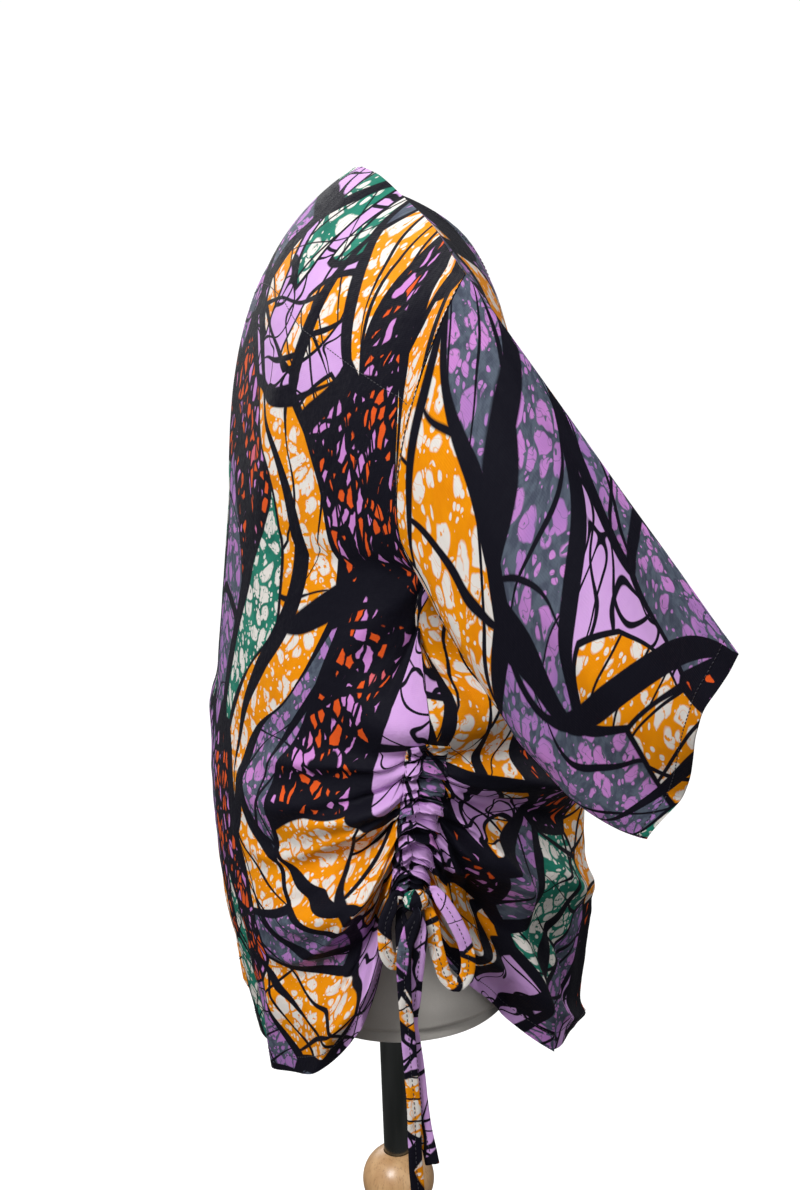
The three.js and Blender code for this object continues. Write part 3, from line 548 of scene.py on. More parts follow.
# ---- Node tools ----
class Nodes:
    """A material's node tree, with short calls for the nodes that the patterns need."""

    def __init__(self, name):
        self.material = bpy.data.materials.new(name)
        self.material.use_nodes = True
        self.tree = self.material.node_tree
        self.shader = self.tree.nodes["Principled BSDF"]

    def put(self, node, socket, value):
        """Link a socket, or set a number, a vector or a colour."""
        target = node.inputs[socket]
        if isinstance(value, bpy.types.NodeSocket):
            self.tree.links.new(value, target)
        else:
            target.default_value = (*value, 1.0) if target.type == "RGBA" else value

    def node(self, kind, sockets, output=0, **settings):
        """One output of a new node, or all of them."""
        node = self.tree.nodes.new("ShaderNode" + kind)
        for name, value in settings.items():
            setattr(node, name, value)
        for socket, value in sockets.items():
            self.put(node, socket, value)
        return node.outputs if output is None else node.outputs[output]

    def math(self, operation, a, b=0.0):
        return self.node("Math", {0: a, 1: b}, operation=operation)

    def add(self, a, b):
        return self.math("ADD", a, b)

    def less(self, a, b):
        return self.math("SUBTRACT", a, b)

    def times(self, a, b):
        return self.math("MULTIPLY", a, b)

    def most(self, a, b):
        return self.math("MAXIMUM", a, b)

    def above(self, value, edge):
        return self.math("GREATER_THAN", value, edge)

    def off(self, value, middle):
        """How far value is from middle."""
        return self.math("ABSOLUTE", self.less(value, middle))

    def vector(self, operation, a, b):
        return self.node("VectorMath", {0: a, 1: b}, operation=operation)

    def stretch(self, vector, x, y, z=1.0):
        return self.vector("MULTIPLY", vector, (x, y, z))

    def warp(self, vector, by, size):
        """The vector, moved by size times another."""
        scaled = self.node("VectorMath", {0: by, "Scale": size}, operation="SCALE")
        return self.vector("ADD", vector, scaled)

    def uv(self):
        return self.node("UVMap", {}, uv_map="cloth")

    def place(self):
        return self.node("TexCoord", {}, "Object")

    def noise(self, vector, scale, detail=2.0, roughness=0.5, output="Fac"):
        sockets = {"Vector": vector, "Scale": scale, "Detail": detail, "Roughness": roughness}
        return self.node("TexNoise", sockets, output)

    def cells(self, vector, scale, feature="F1", output="Distance"):
        sockets = {"Vector": vector, "Scale": scale}
        return self.node("TexVoronoi", sockets, output, voronoi_dimensions="2D", feature=feature)

    def cell_edge(self, vector, scale):
        return self.cells(vector, scale, "DISTANCE_TO_EDGE")

    def cell_pick(self, vector, scale):
        """Three random numbers for each cell."""
        return self.split(self.cells(vector, scale, output="Color"))

    def split(self, colour):
        return self.node("SeparateColor", {0: colour}, None)

    def remap(self, value, low, high, to_low=0.0, to_high=1.0):
        ends = {"From Min": low, "From Max": high, "To Min": to_low, "To Max": to_high}
        return self.node("MapRange", {"Value": value, **ends})

    def below(self, value, edge, soft):
        """1 where value is under edge, 0 above it, with a soft border."""
        return self.remap(value, self.less(edge, soft), self.add(edge, soft), 1.0, 0.0)

    def mix(self, factor, a, b):
        return self.node("Mix", {0: factor, 6: a, 7: b}, 2, data_type="RGBA")

    def bump(self, height, distance, strength, **under):
        sockets = {"Height": height, "Distance": distance, "Strength": strength, **under}
        return self.node("Bump", sockets)

    def finish(self, colour, roughness, **others):
        for name, value in {"Base Color": colour, "Roughness": roughness, **others}.items():
            self.put(self.shader, name.replace("_", " "), value)
        return self.material


# Colours in linear light.
NAVY = (0.0045, 0.0042, 0.009)
ORANGE = (0.78, 0.27, 0.0)
DEEP_ORANGE = (0.70, 0.215, 0.0)
RED_ORANGE = (0.66, 0.085, 0.012)
WHITE = (0.70, 0.66, 0.62)
LILAC = (0.54, 0.30, 0.63)
PALE_LILAC = (0.58, 0.34, 0.66)
PINK_LILAC = (0.52, 0.21, 0.54)
VIOLET = (0.32, 0.155, 0.42)
SLATE = (0.085, 0.105, 0.14)
DEEP_SLATE = (0.055, 0.065, 0.095)
TEAL = (0.018, 0.20, 0.135)
DEEP_TEAL = (0.010, 0.13, 0.09)


LINE_SOFT = 0.0003
WEAVE_PITCH = 0.0011


def print_material():
    """A bold generic wax print: long curved panels in five finishes between dark veins."""
    n = Nodes("wax_print")
    flat = n.uv()
    wide, middle, small, fine = (
        n.vector("SUBTRACT", n.noise(flat, scale, detail, output="Color"), (0.5, 0.5, 0.5))
        for scale, detail in ((3.2, 0.0), (11.0, 0.0), (36.0, 0.0), (120.0, 1.0))
    )
    warped = n.warp(n.warp(flat, wide, 0.22), middle, 0.040)
    near = n.warp(n.warp(flat, small, 0.012), fine, 0.0045)

    def lines(position, pitch, width):
        """Lines every pitch metres along position, width metres to each side."""
        swing = n.math("ABSOLUTE", n.math("SINE", n.times(position, math.pi / pitch)))
        return n.below(swing, n.times(width, math.pi / pitch), LINE_SOFT * math.pi / pitch)

    def ruled(turn, pitch, width):
        """Lines whose direction is turn of a half circle."""
        x, y, _ = n.split(n.warp(warped, small, 0.003))
        angle = n.times(turn, math.pi)
        across = n.add(n.times(x, n.math("COSINE", angle)), n.times(y, n.math("SINE", angle)))
        uneven = n.times(n.noise(flat, 6.0, 0.0), pitch * 1.4)
        return lines(n.add(across, uneven), pitch, width)

    def patches(vector, scale, low, high, seam):
        """Rounded patches of uneven size, with a thin seam where two meet."""
        size = n.remap(n.cell_pick(vector, scale)[0], 0.0, 1.0, low, high)
        inside = n.below(n.cells(vector, scale), size, 0.035)
        return n.times(inside, n.remap(n.cell_edge(vector, scale), seam, seam + 0.05))

    # Panels, and the dark veins between them, of uneven width.
    panel_scale = 16.5
    tall = n.stretch(warped, 1.0, 0.52)
    edge = n.math("DIVIDE", n.cell_edge(tall, panel_scale), panel_scale)
    pick = n.cell_pick(tall, panel_scale)
    swell = n.noise(flat, 7.0, 0.0)
    dark = n.below(edge, n.remap(swell, 0.38, 0.70, 0.0012, 0.0062), LINE_SOFT)

    # Broad tapering bands, and ruled lines whose direction changes from panel to panel.
    band_width = n.remap(n.noise(flat, 6.0, 0.0), 0.42, 0.68, 0.0013, 0.0088)
    thin_width = n.remap(n.noise(flat, 14.0, 0.0), 0.35, 0.65, 0.0005, 0.0021)
    sweep = n.split(n.warp(flat, wide, 0.34))
    lean = n.less(n.times(sweep[0], 0.80), n.times(sweep[1], 0.36))
    dark = n.most(dark, lines(lean, 0.067, band_width))
    for turn, pitch, start in ((pick[1], 0.034, 0.22), (n.add(pick[1], 0.37), 0.072, 0.50)):
        dark = n.most(dark, n.times(ruled(turn, pitch, thin_width), n.above(pick[2], start)))

    # Squiggles: rounded wandering outlines.
    wander = n.noise(n.warp(flat, small, 0.02), 34.0, 0.0, 0.4)
    loops = n.noise(n.vector("ADD", flat, (3.1, 1.7, 0.0)), 26.0, 0.0, 0.4)
    loops = n.below(n.off(loops, 0.58), 0.016, 0.003)
    squiggle = n.most(n.below(n.off(wander, 0.5), 0.021, 0.004), loops)
    squiggle = n.times(squiggle, n.remap(swell, 0.30, 0.32))

    # Bubbles: pale patches of two sizes in a coloured ground, with hairline cracks.
    large = patches(near, 64.0, 0.14, 0.59, 0.045)
    little = patches(n.vector("ADD", near, (1.3, 0.7, 0.0)), 150.0, 0.0, 0.32, 0.05)
    mottle = n.noise(near, 170.0, 2.0, 0.6)
    bubble = n.times(n.most(large, little), n.remap(mottle, 0.33, 0.38))
    hairs = n.noise(n.stretch(near, 1.0, 0.25), 210.0, 0.0)
    hair = n.below(n.off(hairs, 0.5), 0.012, 0.012)
    bubble = n.times(bubble, n.less(1.0, n.times(hair, 0.7)))

    # Islands: long rounded leaves with a dark outline, ruled across.
    leaf = n.stretch(n.warp(flat, middle, 0.05), 1.0, 0.55)
    leaf_scale = 17.0
    leaf_pick = n.cell_pick(leaf, leaf_scale)
    leaf_centre = n.cells(leaf, leaf_scale)
    rim = n.times(n.times(leaf_centre, leaf_centre), 0.75)
    rim = n.less(n.cell_edge(leaf, leaf_scale), rim)
    chosen = n.above(leaf_pick[0], 0.36)
    inside = n.times(n.remap(rim, 0.035, 0.045), chosen)
    outline = n.times(n.below(n.off(rim, 0.03), 0.034, 0.006), chosen)
    leaf_lines = n.times(ruled(leaf_pick[1], 0.021, 0.0009), inside)

    # Chips: small angular bits in a dark mesh.
    squat = n.stretch(near, 1.0, 0.62)
    chip_scale = 118.0
    chip_pick = n.cell_pick(squat, chip_scale)
    mesh_width = n.remap(chip_pick[2], 0.0, 1.0, 0.07, 0.48)
    chip = n.less(1.0, n.below(n.cell_edge(squat, chip_scale), mesh_width, 0.03))
    chip = n.times(chip, n.remap(n.noise(flat, 30.0, 1.0), 0.33, 0.36))
    chip_colour = n.mix(n.remap(chip_pick[0], 0.55, 0.57), RED_ORANGE, PINK_LILAC)

    # The panels' colours, one finish for each range of the cells' first number.
    tone = n.noise(flat, 45.0, 3.0, 0.6)
    soft_tone = n.remap(tone, 0.3, 0.7)
    teal_panel = n.mix(bubble, n.mix(n.remap(tone, 0.35, 0.65), TEAL, DEEP_TEAL), WHITE)
    orange_panel = n.mix(bubble, n.mix(soft_tone, DEEP_ORANGE, ORANGE), WHITE)
    island = n.mix(n.above(leaf_pick[1], 0.20), teal_panel, orange_panel)
    lilac_panel = n.mix(squiggle, n.mix(soft_tone, LILAC, PALE_LILAC), NAVY)
    lilac_panel = n.mix(inside, lilac_panel, island)
    lilac_panel = n.mix(n.most(outline, leaf_lines), lilac_panel, NAVY)
    slate = n.mix(n.remap(mottle, 0.4, 0.6), SLATE, DEEP_SLATE)
    violet = n.mix(n.remap(n.noise(flat, 20.0, 2.0), 0.35, 0.65), PINK_LILAC, VIOLET)
    slate_panel = n.mix(bubble, slate, violet)
    chip_panel = n.mix(chip, NAVY, chip_colour)
    finishes = (0.08, lilac_panel), (0.33, slate_panel), (0.55, orange_panel), (0.79, chip_panel)
    colour = teal_panel
    for start, panel in finishes:
        colour = n.mix(n.above(pick[0], start), colour, panel)
    colour = n.mix(dark, colour, NAVY)

    u, v, _ = n.split(flat)
    weave = n.add(*(n.math("SINE", n.times(way, 2 * math.pi / WEAVE_PITCH)) for way in (u, v)))
    normal = n.bump(n.noise(flat, 60.0, 3.0, 0.55), 0.0022, 0.7)
    normal = n.bump(weave, 0.00006, 0.5, Normal=normal)
    roughness = n.remap(n.noise(flat, 260.0, 2.0), 0.3, 0.7, 0.66, 0.80)
    return n.finish(colour, roughness, Normal=normal, Sheen_Weight=0.0, Specular_IOR_Level=0.10)


def form_material():
    n = Nodes("form_cover")
    place = n.place()
    weave = n.noise(n.stretch(place, 1.0, 1.0, 0.6), 900.0)
    tone = n.remap(n.noise(place, 14.0, 3.0), 0.3, 0.7)
    colour = n.mix(tone, (0.40, 0.375, 0.345), (0.49, 0.465, 0.43))
    colour = n.mix(n.remap(weave, 0.35, 0.65, 0.0, 0.25), colour, (0.40, 0.38, 0.36))
    normal = n.bump(n.noise(place, 40.0, 3.0), 0.002, 0.2)
    normal = n.bump(weave, 0.0003, 0.5, Normal=normal)
    return n.finish(colour, n.remap(weave, 0.3, 0.7, 0.78, 0.92), Normal=normal, Sheen_Weight=0.15)


def chrome_material():
    n = Nodes("pole_chrome")
    # Painted reflection: the dark greenish base colours stand in for a dark room mirrored in the
    # chrome. Long upright streaks move the colour between the lighter and the darker painted tone,
    # and also vary roughness and bump.
    upright_streaks = n.noise(n.stretch(n.place(), 1.0, 1.0, 0.12), 90.0, 3.0)
    colour = n.mix(n.remap(upright_streaks, 0.35, 0.7), (0.20, 0.21, 0.205), (0.10, 0.11, 0.105))
    roughness = n.remap(upright_streaks, 0.35, 0.7, 0.12, 0.26)
    return n.finish(colour, roughness, Normal=n.bump(upright_streaks, 0.0001, 0.2), Metallic=1.0)


def wood_material():
    n = Nodes("stand_wood")
    place = n.place()
    bent = n.warp(place, n.noise(place, 7.0, output="Color"), 0.035)
    rings = n.noise(n.stretch(bent, 1.0, 1.0, 0.08), 95.0, 3.0, 0.55)
    pores = n.noise(n.stretch(place, 1.0, 1.0, 0.045), 620.0, 2.0, 0.6)
    broad = n.noise(n.stretch(bent, 1.0, 1.0, 0.2), 18.0)
    colour = n.mix(n.remap(rings, 0.35, 0.65), (0.50, 0.285, 0.13), (0.62, 0.385, 0.19))
    colour = n.mix(n.remap(broad, 0.35, 0.7, 0.0, 0.5), colour, (0.43, 0.235, 0.10))
    colour = n.mix(n.remap(pores, 0.56, 0.70, 0.0, 0.55), colour, (0.27, 0.135, 0.055))
    roughness = n.remap(rings, 0.3, 0.7, 0.32, 0.46)
    normal = n.bump(n.add(rings, n.times(pores, 0.5)), 0.0003, 0.35)
    return n.finish(colour, roughness, Normal=normal, Coat_Weight=0.25, Coat_Roughness=0.25)


def thread_material():
    n = Nodes("thread")
    twist = n.noise(n.place(), 2400.0, 1.0)
    colour = n.mix(twist, (0.012, 0.011, 0.016), (0.03, 0.028, 0.036))
    roughness = n.remap(twist, 0.3, 0.7, 0.45, 0.65)
    return n.finish(colour, roughness, Normal=n.bump(twist, 0.0001, 0.5))


PRINT = print_material()
FORM = form_material()
CHROME = chrome_material()
WOOD = wood_material()
THREAD = thread_material()


# ---- Stitches: short raised threads along a line on the cloth ----
STITCH_PITCH = 3.6
STITCH_LENGTH = 2.5
STITCH_RADIUS = 0.32
STITCH_SIDES = 5
# Share along the stitch, height over the cloth and size of each of its rings.
STITCH_RINGS = ((0.0, -0.25, 0.3), (0.2, 0.22, 1.0), (0.8, 0.22, 1.0), (1.0, -0.25, 0.3))
STITCH_FACES = [
    (a, b, b + STITCH_SIDES, a + STITCH_SIDES)
    for first in (0, 5, 10)
    for a, b in ((first + k, first + (k + 1) % STITCH_SIDES) for k in range(STITCH_SIDES))
]
STITCH_FACES += [(4, 3, 2, 1, 0), (15, 16, 17, 18, 19)]


def stitch_line(points, normals):
    """Vertices and faces of the stitches along a line of points, in millimetres."""
    step = np.linalg.norm(np.diff(points, axis=0), axis=1)
    far = np.concatenate([[0], np.cumsum(step)])
    vertices, faces = [], []

    def at(distance):
        p, q = (
            np.array([np.interp(distance, far, line[:, k]) for k in range(3)])
            for line in (points, normals)
        )
        return p, q / np.linalg.norm(q)

    for start in np.arange(1.0, far[-1] - STITCH_LENGTH, STITCH_PITCH):
        first = len(vertices)
        along = at(start + STITCH_LENGTH)[0] - at(start)[0]
        along = along / np.linalg.norm(along)
        for share, height, size in STITCH_RINGS:
            p, normal = at(start + share * STITCH_LENGTH)
            side = np.cross(normal, along)
            for k in range(STITCH_SIDES):
                angle = 2 * math.pi * k / STITCH_SIDES
                out = normal * math.sin(angle) + side * math.cos(angle)
                vertices.append(p + normal * height + out * STITCH_RADIUS * size)
        for face in STITCH_FACES:
            faces.append(tuple(first + k for k in face))
    return vertices, faces


def stitches(name, lines, mirror=False):
    vertices, faces = [], []
    for points, normals in lines:
        some, joined = stitch_line(points, normals)
        faces += [tuple(i + len(vertices) for i in face) for face in joined]
        vertices += some
    vertices = np.array(vertices) * (MIRROR if mirror else 1)
    return link(name, vertices, faces, None, THREAD)


# ---- Panels ----
def spaced(*stretches):
    """Numbers from a first to a last, from (last, step) stretches."""
    values = [stretches[0]]
    for last, step in stretches[1:]:
        start = values[-1]
        count = max(1, round((last - start) / step))
        values += [start + (last - start) * (k + 1) / count for k in range(count)]
    return np.array(values)


HEM = 17.0
EDGE_HEM = 12.0
EDGE_SPAN = HALF_FLAT - 20
TOP_GAP = 0.05
SHOULDER_GAP = 0.15
SHOULDER_FADE = 4.0
BACK_SEEDS = (21, 47)
# The share of the back over which its two halves are blended.
MIDDLE = 0.3
aways = spaced(SEAM_GAP, (66, 1.9), (130, 2.9), (HALF_FLAT - 14, 4.4), (HALF_FLAT, 2.4))
across_columns = (1 - aways / HALF_FLAT)[::-1]
down_rows = spaced(
    TOP_GAP / BACK_LENGTH, (0.03, 0.005), (0.46, 0.0095), (0.965, 0.0042), (1.0, 0.0034)
)
GRID_ACROSS, GRID_DOWN = np.meshgrid(across_columns, down_rows)

# Where the rows of stitches run.
HEM_DOWN = 1 - (HEM - STITCH_IN) / FOLD_LENGTH
HEM_ACROSS = np.linspace(0.02, 1 - 4 / HALF_FLAT, 420)
SEAM_ACROSS = 1 - 5.0 / HALF_FLAT
NECK_ACROSS = np.linspace(0.0, 0.93, 240)


def neck_down(across):
    return 0.118 + 0.012 * across**2


def panel_relief(across, down, is_back):
    """Relief of the turned hem and edges over the folds."""
    relief = hem_step((1 - down) * FOLD_LENGTH, HEM)
    return relief if is_back else relief + hem_step(across * EDGE_SPAN, EDGE_HEM)


def panel_grid(is_back, seed):
    relief = panel_relief(GRID_ACROSS, GRID_DOWN, is_back)
    return body_point(GRID_ACROSS, GRID_DOWN, is_back, seed, relief)


def cloth_uv(is_back, sign, shift_u=0.0, shift_v=0.0):
    x = GRID_ACROSS * HALF_FLAT
    u = sign * (x if is_back else x + 12.0)
    v = free_height(GRID_ACROSS, GRID_DOWN, x * SHOULDER_X / HALF_FLAT, is_back)
    return np.stack([u * MM + shift_u, v * MM + shift_v], -1)


def surface_line(is_back, seed, across, down):
    """Points and normals of a line on a panel."""
    across, down = np.broadcast_arrays(np.asarray(across, float), np.asarray(down, float))
    points = body_point(across, down, is_back, seed, panel_relief(across, down, is_back))
    return points, body_turn(across, down, is_back)


def make_back():
    # The two halves meet in one middle line.
    halves = [panel_grid(True, seed) for seed in BACK_SEEDS]
    fade = clamp01(across_columns / MIDDLE)[None, :, None]
    mean = (halves[0] + halves[1]) / 2
    halves = [mean + (half - mean) * fade for half in halves]
    turn = body_turn(GRID_ACROSS, GRID_DOWN, True) * CLOTH
    walls = []
    for pair in (halves, [half - turn for half in halves]):
        for grid in pair:
            grid[:, 0, 0] = 0.0
        walls.append(np.concatenate([pair[0][:, ::-1], (pair[1] * MIRROR)[:, 1:]], 1))
    uv = np.concatenate([cloth_uv(True, -1.0)[:, ::-1], cloth_uv(True, 1.0)[:, 1:]], 1)
    piece = sheet_mesh("back_panel", *walls, uv)
    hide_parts("back")
    hem = HEM_ACROSS[HEM_ACROSS > MIDDLE]
    neck = NECK_ACROSS[NECK_ACROSS > MIDDLE]
    for seed, side in zip(BACK_SEEDS, ("right", "left")):
        lines = [
            surface_line(True, seed, hem, HEM_DOWN),
            surface_line(True, seed, SEAM_ACROSS, np.linspace(0.0, ARMPIT_DOWN, 120)[3:]),
            surface_line(True, seed, neck, neck_down(neck)),
        ]
        stitches(f"back_stitches_{side}", lines, side == "left")
    # The stitches over the middle, where the two halves are blended.
    steps = np.linspace(-0.29, 0.29, 200)
    share = clamp01(np.abs(steps) / MIDDLE)[:, None]
    way = np.where(steps < 0, 1.0, -1.0)
    lines = []
    for down in (np.full_like(steps, HEM_DOWN), neck_down(steps)):
        right, normals = surface_line(True, BACK_SEEDS[0], np.abs(steps), down)
        left, _ = surface_line(True, BACK_SEEDS[1], np.abs(steps), down)
        own = np.where((steps < 0)[:, None], right, left)
        mean = (right + left) / 2
        points = mean + (own - mean) * share
        points[:, 0] *= way
        normals[:, 0] *= way
        lines.append((points, normals))
    stitches("back_stitches_middle", lines)


def join_shoulder(outer):
    """Bring the front's top edge to the back's, along the shoulder seam."""
    back = panel_grid(True, BACK_SEEDS[0])[0]
    fade = np.exp(-down_rows * BACK_LENGTH / SHOULDER_FADE)[:, None]
    for axis, gap in ((1, SHOULDER_GAP), (2, 0.0)):
        target = np.interp(-outer[0, :, 0], -back[:, 0], back[:, axis]) - gap
        outer[:, :, axis] += (target - outer[0, :, axis]) * fade


def make_front(side):
    mirror = side == "left"
    seed, uv_way = (83, (1.0, 1.13, 0.37)) if mirror else (61, (-1.0, 2.31, 0.93))
    outer = panel_grid(False, seed)
    join_shoulder(outer)
    inner = outer - body_turn(GRID_ACROSS, GRID_DOWN, False) * CLOTH
    piece = sheet_mesh(f"front_panel_{side}", outer, inner, cloth_uv(False, *uv_way), mirror)
    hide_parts(f"front_{side}")
    edge_across = (EDGE_HEM - STITCH_IN) / EDGE_SPAN
    lines = [
        surface_line(False, seed, HEM_ACROSS, HEM_DOWN),
        surface_line(False, seed, edge_across, np.linspace(0.01, 0.985, 420)),
        surface_line(False, seed, SEAM_ACROSS, np.linspace(0.008, ARMPIT_DOWN, 120)),
    ]
    stitches(f"front_stitches_{side}", lines, mirror)


# ---- Sleeves ----
def sleeve_detail(along, angle, seed):
    """Relief of the sleeve's folds, creases and turned hem."""
    reach = clamp01(along * 8)
    around = angle * 60.0
    far = along * SLEEVE_LENGTH
    turn = np.abs(angle)
    detail = reach * 1.1 * soft_noise(around / 42 + 9, far / 120 + 3, 100 + seed)
    detail += reach * 0.5 * soft_noise(around / 20 + 5, far / 45 + 7, 101 + seed)
    fan = np.sin(angle * 9 + 1.4 * soft_noise(angle * 2 + 30, along * 3, 102 + seed))
    detail += 0.9 * fan * np.exp(-((along / 0.22) ** 2)) * reach
    for start_at, start_turn, end_at, end_turn, rise, spread in SLEEVE_FOLDS:
        inside = clamp01((along - start_at) / (end_at - start_at))
        swell = clamp01(inside * 3.0) * (0.55 + 0.45 * np.cos(inside * 5 + start_turn * 7))
        off = (angle - start_turn - (end_turn - start_turn) * inside) / spread
        detail += rise * swell * np.exp(-off * off)
    low = np.exp(-(((turn - 2.75) / 0.5) ** 2))
    drag = np.sin(far / 15 + turn * 4 + 2 * soft_noise(far / 50 + 20, angle + 9, 103 + seed))
    detail += 1.3 * low * drag * clamp01(along * 4) * clamp01((1 - along) * 4)
    return detail + hem_step((1 - along) * CUFF_LENGTH, CUFF_HEM)


def sleeve_point(along, angle, out, seed):
    shoulder = np.array([-SHOULDER_X, 1 - ARMHOLE_LEAN_Y, SHOULDER_Z])
    armpit = np.array(
        [2 * ARMHOLE_LEAN_X - SHOULDER_X, 1 + ARMHOLE_LEAN_Y, 2 * ARMHOLE_MID_Z - SHOULDER_Z]
    )
    s = along[..., None]
    top = shoulder + (CUFF_TOP - shoulder) * s
    bottom = armpit + (CUFF_BOTTOM - armpit) * s
    bottom[..., 2] -= UNDERARM_SAG * 4 * along * (1 - along)
    middle = (top + bottom) / 2
    half = (top - bottom) / 2
    turn = np.minimum(1, 2 * along)[..., None]
    across = unit(np.array([0, 1.0, 0]) * (1 - turn) + CUFF_TURN * turn)
    is_back = np.sin(angle) >= 0
    start = np.where(is_back, ARMHOLE_BACK, ARMHOLE_FRONT)
    end = np.where(is_back, CUFF_BACK, CUFF_FRONT)
    bulge = start + (end - start) * along
    hollow_at = 0.6 + 0.6 * along
    relief = -SLEEVE_VALLEY * np.sin(math.pi * along) * np.exp(-(((angle - hollow_at) / 0.4) ** 2))
    for at, rise, spread in CUFF_WAVES:
        relief = relief + rise * along**6 * np.exp(-(((angle - at) / spread) ** 2))
    relief = np.where(is_back, relief, 0.0)
    detail = sleeve_detail(along, angle, seed)
    # Keep the flattened sleeve's two faces apart while its wall thins towards the folds.
    width = np.sign(np.sin(angle)) * bulge * fullness(angle) + relief
    width = width + (out + detail) * np.sin(angle)
    reach = 1 + (out + 0.5 * detail) / np.linalg.norm(half, axis=-1)
    slant = np.where(is_back, 0.0, -CUFF_SLANT * along**2 * fullness(angle))
    point = middle + half * (np.cos(angle) * reach)[..., None] + across * width[..., None]
    return point + unit(CUFF_TOP - shoulder) * slant[..., None]


def make_sleeve(side):
    mirror = side == "left"
    seed = 7 if mirror else 0
    alongs = spaced(2 * SEAM_GAP / SLEEVE_LENGTH, (0.1, 0.008), (0.94, 0.0105), (1.0, 0.0052))
    angles = np.linspace(-math.pi + 0.006, math.pi - 0.006, 132)
    angle, along = np.meshgrid(angles, alongs)
    outer = sleeve_point(along, angle, 0.0, seed)
    inner = sleeve_point(along, angle, -CLOTH, seed)
    girth = SLEEVE_GIRTH - 20 * along
    u = angle / (2 * math.pi) * girth * MM + (3.7 if mirror else 5.2)
    v = -along * SLEEVE_LENGTH * MM + (0.4 if mirror else 1.9)
    piece = sheet_mesh(f"sleeve_cloth_{side}", outer, inner, np.stack([u, v], -1), mirror)
    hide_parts(f"sleeve_{side}")
    hem_at = np.full(300, 1 - (CUFF_HEM - STITCH_IN) / CUFF_LENGTH)
    turn = np.linspace(-math.pi + 0.03, math.pi - 0.03, 300)

    def run(far, spin):
        onward = sleeve_point(hem_at + far, turn + spin, 0.0, seed)
        return onward - sleeve_point(hem_at - far, turn - spin, 0.0, seed)

    points = sleeve_point(hem_at, turn, 0.0, seed)
    normals = unit(np.cross(run(0, 0.01), run(0.004, 0)))
    if np.sum((points - points.mean(0)) * normals) < 0:
        normals = -normals
    stitches(f"cuff_stitches_{side}", [(points, normals)], mirror)


# ---- Casings ----
CASING_GATHERS = 23, 37


def casing_relief(offset, down, seed):
    """Crowned channels, drawn in at three rows of stitches and crossed by gathers."""
    share = np.abs(offset) / CASING_HALF
    channel = np.abs(np.sin(math.pi * share)) ** 0.75
    along = (down - LIFT_START) / (1 - LIFT_START)
    wander = 0.5 * soft_noise(along * 12 + 4, offset * 0.09 + 5, 200 + seed)
    first, second = CASING_GATHERS
    gather = np.cos(2 * math.pi * (first * along + wander + 0.12 * share * np.sign(offset)))
    second = np.cos(2 * math.pi * (second * along - 1.4 * wander + 0.3))
    third = soft_noise(along * 60 + 8, offset * 0.16 + 5, 210 + seed)
    fine = 1.4 * gather + 0.8 * second + 1.1 * third
    return CASING_CLOTH + CHANNEL_RISE * channel + fine * (0.4 + 0.6 * channel) - 0.1


def casing_point(offset, down, out):
    across = 1 - np.abs(offset) / HALF_FLAT
    back, front = (
        body_point(across, down, is_back, BACK_SEEDS[0], SEAM_GAP + out)
        for is_back in (True, False)
    )
    return np.where((offset > 0)[..., None], back, front)


def make_casing(side):
    mirror = side == "left"
    seed = 3 if mirror else 0
    offsets = np.linspace(-CASING_HALF, CASING_HALF, 41)
    downs = np.linspace(LIFT_START - 0.003, 1.0, 240)
    offset, down = np.meshgrid(offsets, downs)
    relief = casing_relief(offset, down, seed)
    outer = casing_point(offset, down, relief)
    inner = casing_point(offset, down, np.minimum(relief - 0.6, 0.15))
    u = offset * MM + (6.4 if mirror else 7.9)
    v = -down * SIDE_FALL * MM
    piece = sheet_mesh(f"casing_cloth_{side}", outer, inner, np.stack([u, v], -1), mirror)
    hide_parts(f"casing_{side}")
    d = np.linspace(LIFT_START + 0.004, 0.995, 700)
    lines = []
    for at in (-CASING_HALF + 1.2, 0.02, CASING_HALF - 1.2):
        o = np.full_like(d, at)
        points = casing_point(o, d, casing_relief(o, d, seed) + 0.1)
        lines.append((points, body_turn(1 - np.abs(o) / HALF_FLAT, d, at > 0)))
    stitches(f"casing_stitches_{side}", lines, mirror)


# ---- Drawstrings ----
KNOT = np.array([-201.4, 24.0, 958.0])
KNOT_HALF = np.array([5.5, 9.0, 8.0])
CORD_WIDTH = 10.0
CORD_THICK = 3.0
CORD_PINCH = 0.42
CORD_PINCH_REACH = 14.0
CORD_LEAVE = 5.0
CORD_SIDES = 24
CORDS = {
    "loop_back": {
        "start": (0.1, 1, 0.4),
        "end": (0.2, 0.8, -0.7),
        "points": [
            (-3, 18, -2), (-5, 22, -10), (-5, 23, -24), (-5, 21, -36), (-4, 16, -42),
            (-3, 11, -37), (-2, 10, -26), (-1, 10, -16),
        ],
    },
    "loop_front": {
        "start": (0.1, -1, 0.4),
        "end": (0.2, -0.8, -0.7),
        "points": [
            (-3, -19, -4), (-5, -26, -18), (-5, -32, -34), (-5, -34, -48), (-4, -32, -60),
            (-4, -26, -65), (-3, -19, -59), (-3, -15, -46), (-2, -12, -32), (-1, -11, -18),
        ],
    },
    "tail_back": {
        "start": (-0.8, 0.2, -0.5),
        "points": [
            (-13, 8, -16), (-15, 12, -28), (-15, 13, -42), (-15, 13, -60), (-14, 12, -80),
            (-14, 11, -102), (-13, 10, -125), (-13, 9, -148), (-12, 9, -171), (-12, 9, -193),
            (-11, 8, -213), (-11, 8, -233),
        ],
    },
    "tail_front": {
        "start": (-0.3, -0.1, -1),
        "points": [
            (-8, -1, -20), (-9, 1, -34), (-9, 3, -50), (-8, 5, -68), (-8, 8, -86), (-8, 6, -104),
            (-8, 4, -124), (-8, 3, -145), (-7, 1, -166), (-7, -2, -185), (-7, -4, -198),
        ],
    },
}


